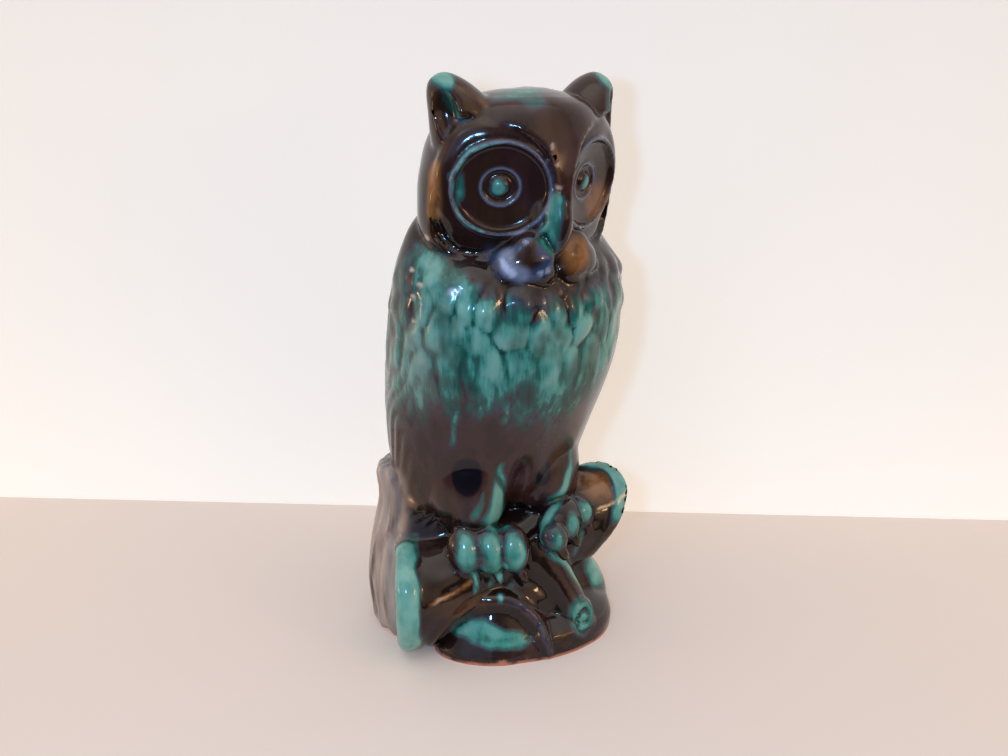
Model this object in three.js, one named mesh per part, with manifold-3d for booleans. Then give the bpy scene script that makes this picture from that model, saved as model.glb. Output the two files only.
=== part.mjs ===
// Glazed pottery owl standing on a log, cast in one piece.
// Millimetres. +Z is up, the owl looks along -Y, and the underside lies on the plane Z = 0.
// Places are given as side, front and height: side is +X, the owl's left, and front is -Y.

import * as THREE from 'three';
import { mergeVertices } from 'three/addons/utils/BufferGeometryUtils.js';
import Module from 'manifold-3d';

const wasm = await Module();
wasm.setup();

// Overall size
const TOTAL_HEIGHT = 250;
const HANDS = [-1, 1];

// Glaze
const GLAZE = { color: 0x2a2d28, roughness: 0.12, metalness: 0 };

// Body, from the log up into the head: each row is one level
const BODY_LEVELS = [
  { height: 36, front: -12, halfWidth: 36, halfDepth: 21 },
  { height: 56, front: -12, halfWidth: 38.5, halfDepth: 24 },
  { height: 63, front: -9, halfWidth: 41.5, halfDepth: 31 },
  { height: 72, front: -6.5, halfWidth: 43, halfDepth: 35.5 },
  { height: 85, front: -4.5, halfWidth: 44, halfDepth: 37 },
  { height: 105, front: 0, halfWidth: 47, halfDepth: 42 },
  { height: 124, front: 6.5, halfWidth: 49.5, halfDepth: 45 },
  { height: 142, front: 11, halfWidth: 50.5, halfDepth: 45 },
  { height: 160, front: 13.5, halfWidth: 50, halfDepth: 41 },
  { height: 172, front: 14.5, halfWidth: 49.5, halfDepth: 36.5 },
  { height: 182, front: 14, halfWidth: 47.5, halfDepth: 30 },
  { height: 190, front: 11, halfWidth: 40, halfDepth: 23.5 },
  { height: 198, front: 7, halfWidth: 30, halfDepth: 17 },
  { height: 206, front: 3, halfWidth: 18, halfDepth: 10 },
];

// Feathers on the chest
const CHEST = { low: 94, high: 170, row: 10.8, columnAngle: 12.6, halfAngle: 58.8, rise: 1.7, fade: 11 };
const FEATHER_RINGS = 3;

// Long feathers of the folded wings, from the shoulder down and back
const WING = {
  low: 48, high: 168, startAngle: 58.8, endAngle: 151.2, spacing: 23.1, slant: 0.6, step: 1.2, groove: 1.1, fade: 12,
};

// The rounded thighs and the valley between them
const THIGH = { side: 20, halfWidth: 12, low: 60, high: 110, fade: 14, rise: 2 };
const CLEFT = { low: 70, high: 101, halfWidth: 6.5, depth: 20 };

// Head
const HEAD_LEVELS = [
  { height: 170, front: 19, halfWidth: 26, halfDepth: 16 },
  { height: 178, front: 21, halfWidth: 37, halfDepth: 25 },
  { height: 188, front: 22.5, halfWidth: 42, halfDepth: 30 },
  { height: 200, front: 23, halfWidth: 43.5, halfDepth: 33 },
  { height: 212, front: 22.5, halfWidth: 42.5, halfDepth: 34 },
  { height: 223, front: 21.5, halfWidth: 39.5, halfDepth: 33 },
  { height: 233, front: 21, halfWidth: 35, halfDepth: 30 },
  { height: 240, front: 22, halfWidth: 28, halfDepth: 25 },
  { height: 244, front: 24, halfWidth: 18, halfDepth: 16 },
  { height: 245, front: 24, halfWidth: 5, halfDepth: 5 },
];

// Eye discs look a little outward and down; the mask behind each one sits a little lower
const EYE = { side: 21.3, front: 42.5, height: 207, outward: 26, down: 9, halfWidth: 19.8, halfHeight: 18.6 };
const MASK_DROP = 3.6;

// Turned profiles about the line an eye looks along: radius, then distance forward of the rim's plane
const DISC_PROFILE = [
  [0, -14], [19.8, -14], [19.8, -1.4], [18.9, 1.1], [17.4, -0.9], [13.4, -2.4],
  [8.2, -3], [7, -1.7], [5.6, -3], [3.4, -3], [2.4, -0.9], [0, -0.2],
];
const SOCKET_PROFILE = [[0, -7], [19.5, -7], [19.5, 20], [0, 20]];
const MASK_PROFILE = [[0, -14], [24.6, -14], [24.6, -6], [23.8, -3.6], [21.6, -1.4], [0, -1.4]];
const SEAT_PROFILE = [[0, -7], [24.2, -7], [33, 20], [0, 20]];

// Ears, beak and the two puffs of feathers beside the beak
const EAR_LEVELS = [
  { height: 218, side: 22.5, front: 26, halfWidth: 11, halfDepth: 13 },
  { height: 230, side: 25, front: 26, halfWidth: 11.5, halfDepth: 12.5 },
  { height: 236, side: 28.5, front: 25.5, halfWidth: 11, halfDepth: 11 },
  { height: 241, side: 31.5, front: 24.5, halfWidth: 9.8, halfDepth: 9 },
  { height: 246, side: 33.5, front: 24, halfWidth: 7.4, halfDepth: 7 },
  { height: TOTAL_HEIGHT - 0.8, side: 34.4, front: 24, halfWidth: 4.8, halfDepth: 4.4 },
  { height: TOTAL_HEIGHT, side: 34.4, front: 24, halfWidth: 1.5, halfDepth: 1.5 },
];
const EAR_HOLLOW = { side: 35, front: 37, height: 237, radii: [5, 7, 10.5], lean: 12 };
const BEAK = { front: 48.5, height: 198, radii: [6, 8.5, 17.5], hook: 3 };
const PUFF = { side: 12.5, front: 44.5, height: 178.5, radii: [14.5, 9, 10], turn: 27, droop: 14 };

// Shanks and feet, for the owl's right and left side
const SHANK = { side: 19, front: 12, height: 56, radii: [12, 15, 13] };
const FEET = [
  { outward: -1, side: -18.5, front: 28, height: 49.5 },
  { outward: 1, side: 20, front: 31, height: 55.5 },
];
const TOE = { radii: [6, 8.5, 10], sideStep: 11.5, frontStep: -6, tilt: 20 };
const INSTEP = { radii: [17, 10, 9], back: 5 };

// Log: its near end is cut upright and closed by a thick glazed rim, and its far end is cut on a slant
const LOG = {
  near: { side: -47.5, front: 4, height: 25 },
  far: { side: 58, front: 17, height: 51.5 },
  nearRadius: 23.2, farRadius: 20, spare: 20,
};
const NEAR_RIM = { radius: 25.3, halfWidth: 4.6, shoulder: 3.5, turn: -27 };
const FAR_END = { side: 40.5, front: 14.8, height: 47, turn: 20, lean: 24, rimRise: 1.2, rimWidth: 6 };

// Side branch, rock, mound, trunk, tail and base
const BRANCH = {
  near: { side: 5, front: 20, height: 45 },
  far: { side: 25.5, front: 41.5, height: 16 },
  startRadius: 15, waistRadius: 11, endRadius: 11.5,
};
const ROCK = { side: -16.5, front: 26.5, height: 0, radii: [26, 16.5, 29.5], turn: -32 };
const MOUND = { side: 34, front: 10, height: 2, radii: [22, 22, 28], turn: 0 };
const TRUNK_LEVELS = [
  { height: 0, side: -9, front: -15, halfWidth: 43, halfDepth: 34 },
  { height: 20, side: -10, front: -15, halfWidth: 44.5, halfDepth: 34 },
  { height: 40, side: -10.5, front: -15, halfWidth: 42.5, halfDepth: 33 },
  { height: 57, side: -11, front: -16, halfWidth: 37.5, halfDepth: 30 },
  { height: 68, side: -12, front: -17, halfWidth: 35.5, halfDepth: 26 },
  { height: 78, side: -15, front: -18, halfWidth: 34.5, halfDepth: 20 },
  { height: 82, side: -17, front: -18, halfWidth: 31, halfDepth: 15 },
];
const BARK = { grooves: 9, depth: 1.6 };
const TAIL_LEVELS = [
  { height: 24, front: -44, halfWidth: 15, halfDepth: 5 },
  { height: 48, front: -43, halfWidth: 18, halfDepth: 7 },
  { height: 75, front: -39, halfWidth: 20, halfDepth: 9 },
  { height: 108, front: -31, halfWidth: 20, halfDepth: 8 },
];
const BASE_OUTLINE = [
  [-50, -10], [-49, 6], [-40, 11], [-32, 30], [-18, 43.5], [-3, 49], [14, 50], [30, 45.5],
  [41, 36], [50, 22], [56, 8], [53, -12], [38, -32], [14, -46], [-14, -48], [-38, -39], [-48, -24],
];
const BASE_LEVELS = [
  { height: 0, scale: 1 },
  { height: 5, scale: 1.005 },
  { height: 10, scale: 0.97 },
  { height: 15, scale: 0.84 },
  { height: 19, scale: 0.5 },
];

const radians = THREE.MathUtils.degToRad;
const degrees = THREE.MathUtils.radToDeg;
const smooth = THREE.MathUtils.smoothstep;

function place({ side = 0, front = 0, height = 0 }) {
  return new THREE.Vector3(side, -front, height);
}

// Evenly spaced values from one to the other, both included
function spread(from, to, steps) {
  return Array.from({ length: steps + 1 }, (_, k) => from + (to - from) * k / steps);
}

// 0 outside a range, 1 inside it, with a soft edge
function window(value, low, high, fade) {
  return smooth(value, low, low + fade) * (1 - smooth(value, high - fade, high));
}

// A closed solid from a closed geometry: only positions are kept, and shared corners are merged
function solid(geometry) {
  const bare = geometry.clone();
  for (const name of Object.keys(bare.attributes)) {
    if (name !== 'position') bare.deleteAttribute(name);
  }
  const merged = mergeVertices(bare, 1e-4);
  const corners = merged.index.array;
  const faces = [];
  for (let i = 0; i < corners.length; i += 3) {
    const [a, b, c] = corners.slice(i, i + 3);
    if (a !== b && b !== c && c !== a) faces.push(a, b, c);
  }
  return new wasm.Manifold(new wasm.Mesh({
    numProp: 3,
    vertProperties: Float32Array.from(merged.attributes.position.array),
    triVerts: Uint32Array.from(faces),
  }));
}

// Moves each point of a geometry to where the given function says
function reshape(geometry, move) {
  const points = geometry.attributes.position;
  const point = new THREE.Vector3();
  for (let i = 0; i < points.count; i += 1) {
    const moved = move(point.fromBufferAttribute(points, i));
    points.setXYZ(i, moved.x, moved.y, moved.z);
  }
  return geometry;
}

// One value of a table of levels at a height, on a smooth curve through its rows
function levelValue(levels, name, height) {
  const last = levels.length - 1;
  const row = (k) => levels[THREE.MathUtils.clamp(k, 0, last)];
  const value = (k) => row(k)[name] ?? 0;
  let low = 0;
  while (low < last - 1 && height > row(low + 1).height) low += 1;
  const span = row(low + 1).height - row(low).height;
  const slope = (k) => (value(k + 1) - value(k - 1)) / (row(k + 1).height - row(k - 1).height) * span;
  const t = (height - row(low).height) / span;
  const ease = t * t * (3 - 2 * t);
  const bend = t * (1 - t) * (slope(low) * (1 - t) - slope(low + 1) * t);
  return value(low) * (1 - ease) + value(low + 1) * ease + bend;
}

// A closed column through a table of levels, with a ring of points at each height and angle.
// The angle is 0 in front and grows toward +X; relief(angle, height) is how far a point stands out.
function column(levels, heights, angles, relief = () => 0) {
  const rings = heights.map((_, k) => new THREE.Vector2(1, k));
  const profile = [new THREE.Vector2(0, 0), ...rings, new THREE.Vector2(0, heights.length - 1)];
  const geometry = new THREE.LatheGeometry(profile, angles.length);
  const move = (point) => {
    const height = heights[Math.round(point.y)];
    const turn = Math.atan2(point.x, point.z) / (2 * Math.PI);
    const angle = angles[Math.round((turn + 1) * angles.length) % angles.length];
    const radius = Math.round(Math.hypot(point.x, point.z));
    const stand = radius * relief(angle, height);
    const reach = (name) => radius * levelValue(levels, name, height) + stand;
    return place({
      side: levelValue(levels, 'side', height) + Math.sin(angle) * reach('halfWidth'),
      front: levelValue(levels, 'front', height) + Math.cos(angle) * reach('halfDepth'),
      height,
    });
  };
  return reshape(geometry, move);
}

// A column whose rings and points are evenly spaced
function evenColumn(levels, rows, sides, relief) {
  const heights = spread(levels[0].height, levels[levels.length - 1].height, rows);
  const angles = spread(0, 2 * Math.PI, sides).slice(0, sides);
  return solid(column(levels, heights, angles, relief));
}

// An egg shape: tilt leans its top back, lean swings its top toward +X, and turn spins it about +Z
function ellipsoid(centre, radii, { turn = 0, lean = 0, tilt = 0, sides = 16, rows = 10 } = {}) {
  const shape = new THREE.SphereGeometry(1, sides, rows).rotateX(Math.PI / 2).scale(...radii);
  shape.rotateX(radians(-tilt)).rotateY(radians(lean)).rotateZ(radians(turn));
  return shape.translate(centre.x, centre.y, centre.z);
}

// A turned shape whose axis runs from a point along a direction; pairs are radius and distance
function turned(pairs, sides, start, direction) {
  const profile = pairs.map(([radius, along]) => new THREE.Vector2(radius, along));
  const turn = new THREE.Quaternion().setFromUnitVectors(new THREE.Vector3(0, 1, 0), direction);
  const matrix = new THREE.Matrix4().compose(start, turn, new THREE.Vector3(1, 1, 1));
  return solid(new THREE.LatheGeometry(profile, sides).applyMatrix4(matrix));
}

// Rounded feathers in staggered rows on the chest
function chestFeathers(angle, height) {
  const inside = window(height, CHEST.low, CHEST.high, CHEST.fade)
    * (1 - smooth(Math.abs(degrees(angle)), CHEST.halfAngle - CHEST.fade, CHEST.halfAngle));
  const row = (height - CHEST.low) / CHEST.row;
  const stagger = Math.floor(row) % 2 === 0 ? 0 : 0.5;
  const wave = (turns) => 0.5 - 0.5 * Math.cos(2 * Math.PI * turns);
  return CHEST.rise * inside * wave(row) * wave(degrees(angle) / CHEST.columnAngle + stagger);
}

// Long flight feathers that slant down and back on each wing
function wingFeathers(angle, height) {
  const across = Math.abs(degrees(angle));
  const inside = window(height, WING.low, WING.high, WING.fade)
    * window(across, WING.startAngle, WING.endAngle, WING.fade);
  const phase = (across + (height - WING.low) * WING.slant) / WING.spacing;
  return inside * (WING.step + WING.groove * Math.cos(2 * Math.PI * phase));
}

function thighs(angle, height) {
  if (Math.cos(angle) < 0) return 0;
  const side = Math.abs(Math.sin(angle)) * levelValue(BODY_LEVELS, 'halfWidth', height);
  const bulge = THIGH.rise * Math.exp(-(((side - THIGH.side) / THIGH.halfWidth) ** 2));
  const valley = CLEFT.depth * Math.exp(-((side / CLEFT.halfWidth) ** 2));
  return bulge * window(height, THIGH.low, THIGH.high, THIGH.fade)
    - valley * (1 - smooth(height, CLEFT.low, CLEFT.high));
}

function bodySolid() {
  const low = BODY_LEVELS[0].height;
  const high = BODY_LEVELS[BODY_LEVELS.length - 1].height;
  const chestRings = Math.round((CHEST.high - CHEST.low) / CHEST.row * FEATHER_RINGS);
  const heights = [
    ...spread(low, CHEST.low, 7),
    ...spread(CHEST.low, CHEST.high, chestRings).slice(1),
    ...spread(CHEST.high, high, 3).slice(1),
  ];
  const front = CHEST.halfAngle;
  const back = WING.endAngle;
  const angles = [
    ...spread(-front, front, 28), ...spread(front, back, 12).slice(1),
    ...spread(back, 360 - back, 3).slice(1), ...spread(360 - back, 360 - front, 12).slice(1, -1),
  ].map(radians);
  const relief = (angle, height) => chestFeathers(angle, height)
    + wingFeathers(Math.atan2(Math.sin(angle), Math.cos(angle)), height) + thighs(angle, height);
  return solid(column(BODY_LEVELS, heights, angles, relief));
}

// The middle of an eye disc, or a place further down its face
function eyePlace(hand, drop) {
  const turn = new THREE.Euler(radians(EYE.down), 0, radians(hand * EYE.outward), 'ZYX');
  const down = new THREE.Vector3(0, 0, -1).applyEuler(turn);
  return place({ ...EYE, side: hand * EYE.side }).addScaledVector(down, drop);
}

// A shape turned about the line an eye looks along, a little wider than high when it is flattened
function eyeTurned(pairs, hand, { drop = 0, flatten = 1 } = {}) {
  const profile = pairs.map(([radius, along]) => new THREE.Vector2(radius, along));
  const shape = new THREE.LatheGeometry(profile, 22).rotateX(Math.PI);
  shape.scale(1, 1, flatten).rotateX(radians(EYE.down)).rotateZ(radians(hand * EYE.outward));
  const centre = eyePlace(hand, drop);
  return solid(shape.translate(centre.x, centre.y, centre.z));
}

function earSolid(hand) {
  const levels = EAR_LEVELS.map((level) => ({ ...level, side: hand * level.side }));
  const { side, radii, lean } = EAR_HOLLOW;
  const centre = place({ ...EAR_HOLLOW, side: hand * side });
  const hollow = ellipsoid(centre, radii, { lean: hand * lean, sides: 8, rows: 6 });
  return evenColumn(levels, 8, 12).subtract(solid(hollow));
}

function beakSolid() {
  const [, , halfLength] = BEAK.radii;
  const shape = ellipsoid(new THREE.Vector3(), BEAK.radii, { sides: 10, rows: 10 });
  reshape(shape, (point) => {
    const rise = THREE.MathUtils.clamp(point.z / halfLength, 0, 1);
    const drop = THREE.MathUtils.clamp(-point.z / halfLength, 0, 1);
    return new THREE.Vector3(point.x * (1 - 0.4 * rise), point.y - BEAK.hook * drop * (1 - drop), point.z);
  });
  return solid(shape.translate(0, -BEAK.front, BEAK.height));
}

function puffSolid(hand) {
  const centre = place({ ...PUFF, side: hand * PUFF.side });
  return solid(ellipsoid(centre, PUFF.radii, { turn: hand * PUFF.turn, lean: hand * PUFF.droop, sides: 12, rows: 8 }));
}

// The masks are set into the head, and the dished eye discs into the masks
function headSolid() {
  const low = { drop: MASK_DROP };
  const disc = { flatten: EYE.halfHeight / EYE.halfWidth };
  let head = evenColumn(HEAD_LEVELS, 12, 30);
  for (const hand of HANDS) head = head.subtract(eyeTurned(SEAT_PROFILE, hand, low));
  for (const hand of HANDS) head = head.add(eyeTurned(MASK_PROFILE, hand, low));
  for (const hand of HANDS) head = head.subtract(eyeTurned(SOCKET_PROFILE, hand, disc));
  for (const hand of HANDS) {
    head = head.add(eyeTurned(DISC_PROFILE, hand, disc)).add(earSolid(hand)).add(puffSolid(hand));
  }
  return head.add(beakSolid());
}

function footSolid({ outward, side, front, height }) {
  const turn = outward * degrees(Math.atan2(-TOE.frontStep, TOE.sideStep));
  const instep = place({ side, front: front - INSTEP.back, height: height + 1 });
  let foot = solid(ellipsoid(instep, INSTEP.radii, { turn, sides: 10, rows: 6 }));
  for (const step of [-1, 0, 1]) {
    const centre = place({
      side: side + step * outward * TOE.sideStep, front: front + step * TOE.frontStep, height,
    });
    foot = foot.add(solid(ellipsoid(centre, TOE.radii, { tilt: TOE.tilt, turn, sides: 8, rows: 6 })));
  }
  return foot;
}

function legSolid(foot) {
  const shank = ellipsoid(place({ ...SHANK, side: foot.outward * SHANK.side }), SHANK.radii, { sides: 12, rows: 8 });
  return solid(shank).add(footSolid(foot));
}

// The log grown outward by a given amount, longer at both ends than it ends up
function logColumn(grow) {
  const near = place(LOG.near);
  const far = place(LOG.far);
  const { nearRadius, farRadius, spare } = LOG;
  const start = nearRadius + grow;
  const end = farRadius + grow;
  const length = far.distanceTo(near);
  const profile = [[0, -spare], [start, -spare], [start, 0], [end, length], [end, length + spare], [0, length + spare]];
  return turned(profile, 22, near, far.clone().sub(near).normalize());
}

// A block of the given thickness that lies outward of the far cut, or inward when it is negative
function farBlock(thickness) {
  const size = LOG.spare * 8;
  const block = new THREE.BoxGeometry(Math.abs(thickness), size, size).translate(thickness / 2, 0, 0);
  block.rotateY(radians(FAR_END.lean)).rotateZ(radians(FAR_END.turn));
  const middle = place(FAR_END);
  return solid(block.translate(middle.x, middle.y, middle.z));
}

function logSolid() {
  const near = place(LOG.near);
  const size = LOG.spare * 8;
  const cut = new THREE.BoxGeometry(size, size, size).translate(-size / 2, 0, 0);
  cut.rotateZ(radians(NEAR_RIM.turn)).translate(near.x, near.y, near.z);
  const farRim = logColumn(FAR_END.rimRise).intersect(farBlock(-FAR_END.rimWidth));
  return logColumn(0).subtract(solid(cut)).subtract(farBlock(size)).add(nearRim(near)).add(farRim);
}

// The thick collar of glaze around the near end of the log
function nearRim(centre) {
  const { radius, halfWidth, shoulder, turn } = NEAR_RIM;
  const inner = radius - shoulder;
  const middle = radius - shoulder / 3;
  const profile = [[0, -halfWidth], [inner, -halfWidth], [middle, -halfWidth * 0.6], [radius, 0],
    [middle, halfWidth * 0.6], [inner, halfWidth], [0, halfWidth * 0.7]];
  const outward = new THREE.Vector3(-Math.cos(radians(turn)), -Math.sin(radians(turn)), 0);
  return turned(profile, 22, centre, outward);
}

function branchSolid() {
  const near = place(BRANCH.near);
  const far = place(BRANCH.far);
  const length = far.distanceTo(near);
  const { startRadius, waistRadius, endRadius } = BRANCH;
  const profile = [[0, 0], [startRadius, 0], [waistRadius, length * 0.55], [endRadius, length - 6],
    [endRadius - 1.5, length - 1.5], [endRadius - 4, length], [0, length]];
  return turned(profile, 16, near, far.clone().sub(near).normalize());
}

function trunkSolid() {
  const grooves = (angle) => BARK.depth * Math.cos(BARK.grooves * angle);
  return evenColumn(TRUNK_LEVELS, 5, 34, grooves);
}

// The low foot of the casting: the outline of the underside, drawn in toward the top
function baseSolid() {
  const points = BASE_OUTLINE.map(([side, front]) => place({ side, front }));
  const outline = new THREE.CatmullRomCurve3(points, true, 'centripetal');
  const profile = [new THREE.Vector2(0, 0)];
  BASE_LEVELS.forEach((_, row) => profile.push(new THREE.Vector2(1, row)));
  profile.push(new THREE.Vector2(0, BASE_LEVELS.length - 1));
  const move = (point) => {
    const { height, scale } = BASE_LEVELS[Math.round(point.y)];
    const turn = (Math.atan2(point.x, point.z) / (2 * Math.PI) + 1) % 1;
    const edge = outline.getPoint(turn).multiplyScalar(scale * Math.hypot(point.x, point.z));
    return edge.setZ(height);
  };
  return solid(reshape(new THREE.LatheGeometry(profile, 36), move));
}

function rockSolid(rock) {
  return solid(ellipsoid(place(rock), rock.radii, { turn: rock.turn, sides: 14, rows: 8 }));
}

// Everything joined, then cut flat on the plane it stands on
function owlSolid() {
  const parts = [bodySolid(), headSolid(), ...FEET.map(legSolid), logSolid(), branchSolid(), rockSolid(ROCK),
    rockSolid(MOUND), trunkSolid(), evenColumn(TAIL_LEVELS, 5, 14), baseSolid()];
  const joined = parts.reduce((whole, part) => whole.add(part));
  const below = new THREE.BoxGeometry(400, 400, 100).translate(0, 0, -50);
  return joined.subtract(solid(below));
}

function toGeometry(shape) {
  const { vertProperties, triVerts } = shape.getMesh();
  const geometry = new THREE.BufferGeometry();
  geometry.setAttribute('position', new THREE.BufferAttribute(vertProperties, 3));
  geometry.setIndex(new THREE.BufferAttribute(triVerts, 1));
  geometry.computeVertexNormals();
  return geometry;
}

const owl = new THREE.Mesh(toGeometry(owlSolid()), new THREE.MeshStandardMaterial(GLAZE));
owl.name = 'owl_figurine';

const figurine = new THREE.Group();
figurine.add(owl);
export default figurine;
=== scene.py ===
"""A glazed pottery owl on a log, cast in one piece: its finished surface, glaze, and the studio around it.

The piece is modelled in millimetres and scaled to metres at the end. Places are given as side, front and
height: side is +X, the owl's left, front is -Y, and height is +Z.
"""

import logging
import math
from contextlib import contextmanager
from dataclasses import dataclass, field
from enum import Enum
from functools import reduce
from typing import Iterable, Iterator, Sequence

import bpy
import numpy as np
from mathutils import Matrix, Vector


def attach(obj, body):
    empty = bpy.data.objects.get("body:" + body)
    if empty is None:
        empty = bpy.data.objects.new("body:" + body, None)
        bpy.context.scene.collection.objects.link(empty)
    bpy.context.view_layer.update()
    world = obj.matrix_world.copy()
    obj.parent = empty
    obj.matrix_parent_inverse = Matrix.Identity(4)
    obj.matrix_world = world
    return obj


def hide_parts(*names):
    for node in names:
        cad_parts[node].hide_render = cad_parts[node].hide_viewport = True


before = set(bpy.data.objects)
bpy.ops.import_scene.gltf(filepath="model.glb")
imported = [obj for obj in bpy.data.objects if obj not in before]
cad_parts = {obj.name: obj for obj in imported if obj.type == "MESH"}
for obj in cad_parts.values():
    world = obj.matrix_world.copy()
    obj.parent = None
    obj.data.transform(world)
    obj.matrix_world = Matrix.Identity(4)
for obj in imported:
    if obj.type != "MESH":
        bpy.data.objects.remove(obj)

logging.basicConfig(level=logging.INFO, format="%(name)s: %(message)s")
LOG = logging.getLogger("owl")

MM = 0.001
BODY = "root"
NODE = "owl_figurine"
HANDS = (-1, 1)
# The photograph looks at the piece from 32 degrees to the owl's right
VIEW_TURN = 32.0
VIEW_COS, VIEW_SIN = 0.848, 0.53
# How far the toes point outward, in degrees
TOE_TURN = math.degrees(math.atan2(6.0, 11.5))

Object = bpy.types.Object
Array = np.ndarray
Socket = bpy.types.NodeSocket
Triple = tuple[float, float, float]
Pairs = Sequence[tuple[float, float]]


# Small helpers

def place(side: float, front: float, height: float) -> Vector:
    """A point from its side, front and height."""
    return Vector((side, -front, height))


def aimed(start: Vector, end: Vector) -> Matrix:
    """Where a form turned about +Z goes so that it starts at one point and looks at another."""
    return Matrix.Translation(start) @ (end - start).to_track_quat("Z", "Y").to_matrix().to_4x4()


def smooth(value: Array, low: float, high: float) -> Array:
    """A soft step from 0 at low to 1 at high, or the other way round where low is above high."""
    t = np.clip((value - low) / (high - low), 0.0, 1.0)
    return t * t * (3 - 2 * t)


def window(value: Array, low: float, high: float, fade: float) -> Array:
    """1 between low and high, 0 outside, with a soft edge of the given width inside each end."""
    return smooth(value, low, low + fade) * smooth(value, high, high - fade)


def inside(points: Array, balls: Sequence[tuple[float, ...]]) -> Array:
    """Which points lie in any of some balls.

    Args:
        points: Places in millimetres, one a row.
        balls: Side, front, height and radius of each ball.

    Returns:
        True for each point that does.
    """
    found = np.zeros(len(points), dtype=bool)
    for side, front, height, radius in balls:
        found |= np.linalg.norm(points - np.array((side, -front, height)), axis=1) < radius
    return found


def hill(distance: Array, width: float) -> Array:
    """A rounded bump: 1 where distance is 0, and small beyond the width."""
    return np.exp(-((distance / width) ** 2))


@dataclass(frozen=True)
class Waves:
    """Smooth random waves made of a few sine waves in seeded directions.

    Attributes:
        seed: Which random directions and phases are drawn.
        size: Length of the waves along side, front and height.
        count: How many sine waves are added up.
    """

    seed: int
    size: Triple
    count: int = 14

    def at(self, points: Array) -> Array:
        """Height of the waves, mostly between -1 and 1, at each point.

        Args:
            points: Places in millimetres, one a row.

        Returns:
            One value a point.
        """
        draw = np.random.default_rng(self.seed)
        ways = draw.normal(size=(self.count, 3))
        ways *= (draw.uniform(0.6, 1.5, self.count) / np.linalg.norm(ways, axis=1))[:, None]
        phases = draw.uniform(0, 2 * math.pi, self.count)
        waves = np.sin((points / np.array(self.size)) @ ways.T * 2 * math.pi + phases)
        return waves.sum(axis=1) / math.sqrt(self.count / 2) / 1.6


@dataclass(frozen=True)
class Level:
    """One oval ring of a form.

    Attributes:
        height: Its height.
        half_width: Half size along side.
        half_depth: Half size along front.
        side: Side of its middle.
        front: Front of its middle.
    """

    height: float
    half_width: float
    half_depth: float
    side: float = 0.0
    front: float = 0.0

    @property
    def centre(self) -> Vector:
        """Middle of the oval."""
        return place(self.side, self.front, self.height)


class LevelTable:
    """Levels of a form, joined by a smooth curve through each of their sizes."""

    def __init__(self, *rows: tuple[float, ...]) -> None:
        """Keeps the levels.

        Args:
            rows: Height, half width, half depth, side and front of each level, from the lowest up.
        """
        self.rows = [Level(*row) for row in rows]
        self.heights = np.array([row.height for row in self.rows], dtype=float)

    def value(self, name: str, height: Array) -> Array:
        """One size of the form at any height.

        Args:
            name: Name of a field of Level.
            height: Height, or several.

        Returns:
            The size at each height.
        """
        values = np.array([getattr(row, name) for row in self.rows], dtype=float)
        last = len(values) - 1
        low = np.clip(np.searchsorted(self.heights, height, side="right") - 1, 0, last - 1)
        span = self.heights[low + 1] - self.heights[low]

        def slope(k: Array) -> Array:
            """Slope of the curve at a row, times the span."""
            after, before = np.clip(k + 1, 0, last), np.clip(k - 1, 0, last)
            return (values[after] - values[before]) / (self.heights[after] - self.heights[before]) * span

        t = np.clip((height - self.heights[low]) / span, 0.0, 1.0)
        ease = t * t * (3 - 2 * t)
        bend = t * (1 - t) * (slope(low) * (1 - t) - slope(low + 1) * t)
        return values[low] * (1 - ease) + values[low + 1] * ease + bend

    def rings(self, count: int, mirror: int = 1) -> list[Level]:
        """Evenly spaced rings through the table.

        Args:
            count: How many rings.
            mirror: 1, or -1 for the same form on the owl's right.

        Returns:
            The rings, from the lowest up.
        """
        heights = np.linspace(self.heights[0], self.heights[-1], count)
        sizes = {name: self.value(name, heights) for name in ("half_width", "half_depth", "side", "front")}
        return [
            Level(float(h), *(float(sizes[name][k]) for name in ("half_width", "half_depth")),
                  side=mirror * float(sizes["side"][k]), front=float(sizes["front"][k]))
            for k, h in enumerate(heights)
        ]


# Modelling with mesh operators, as by hand

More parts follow.
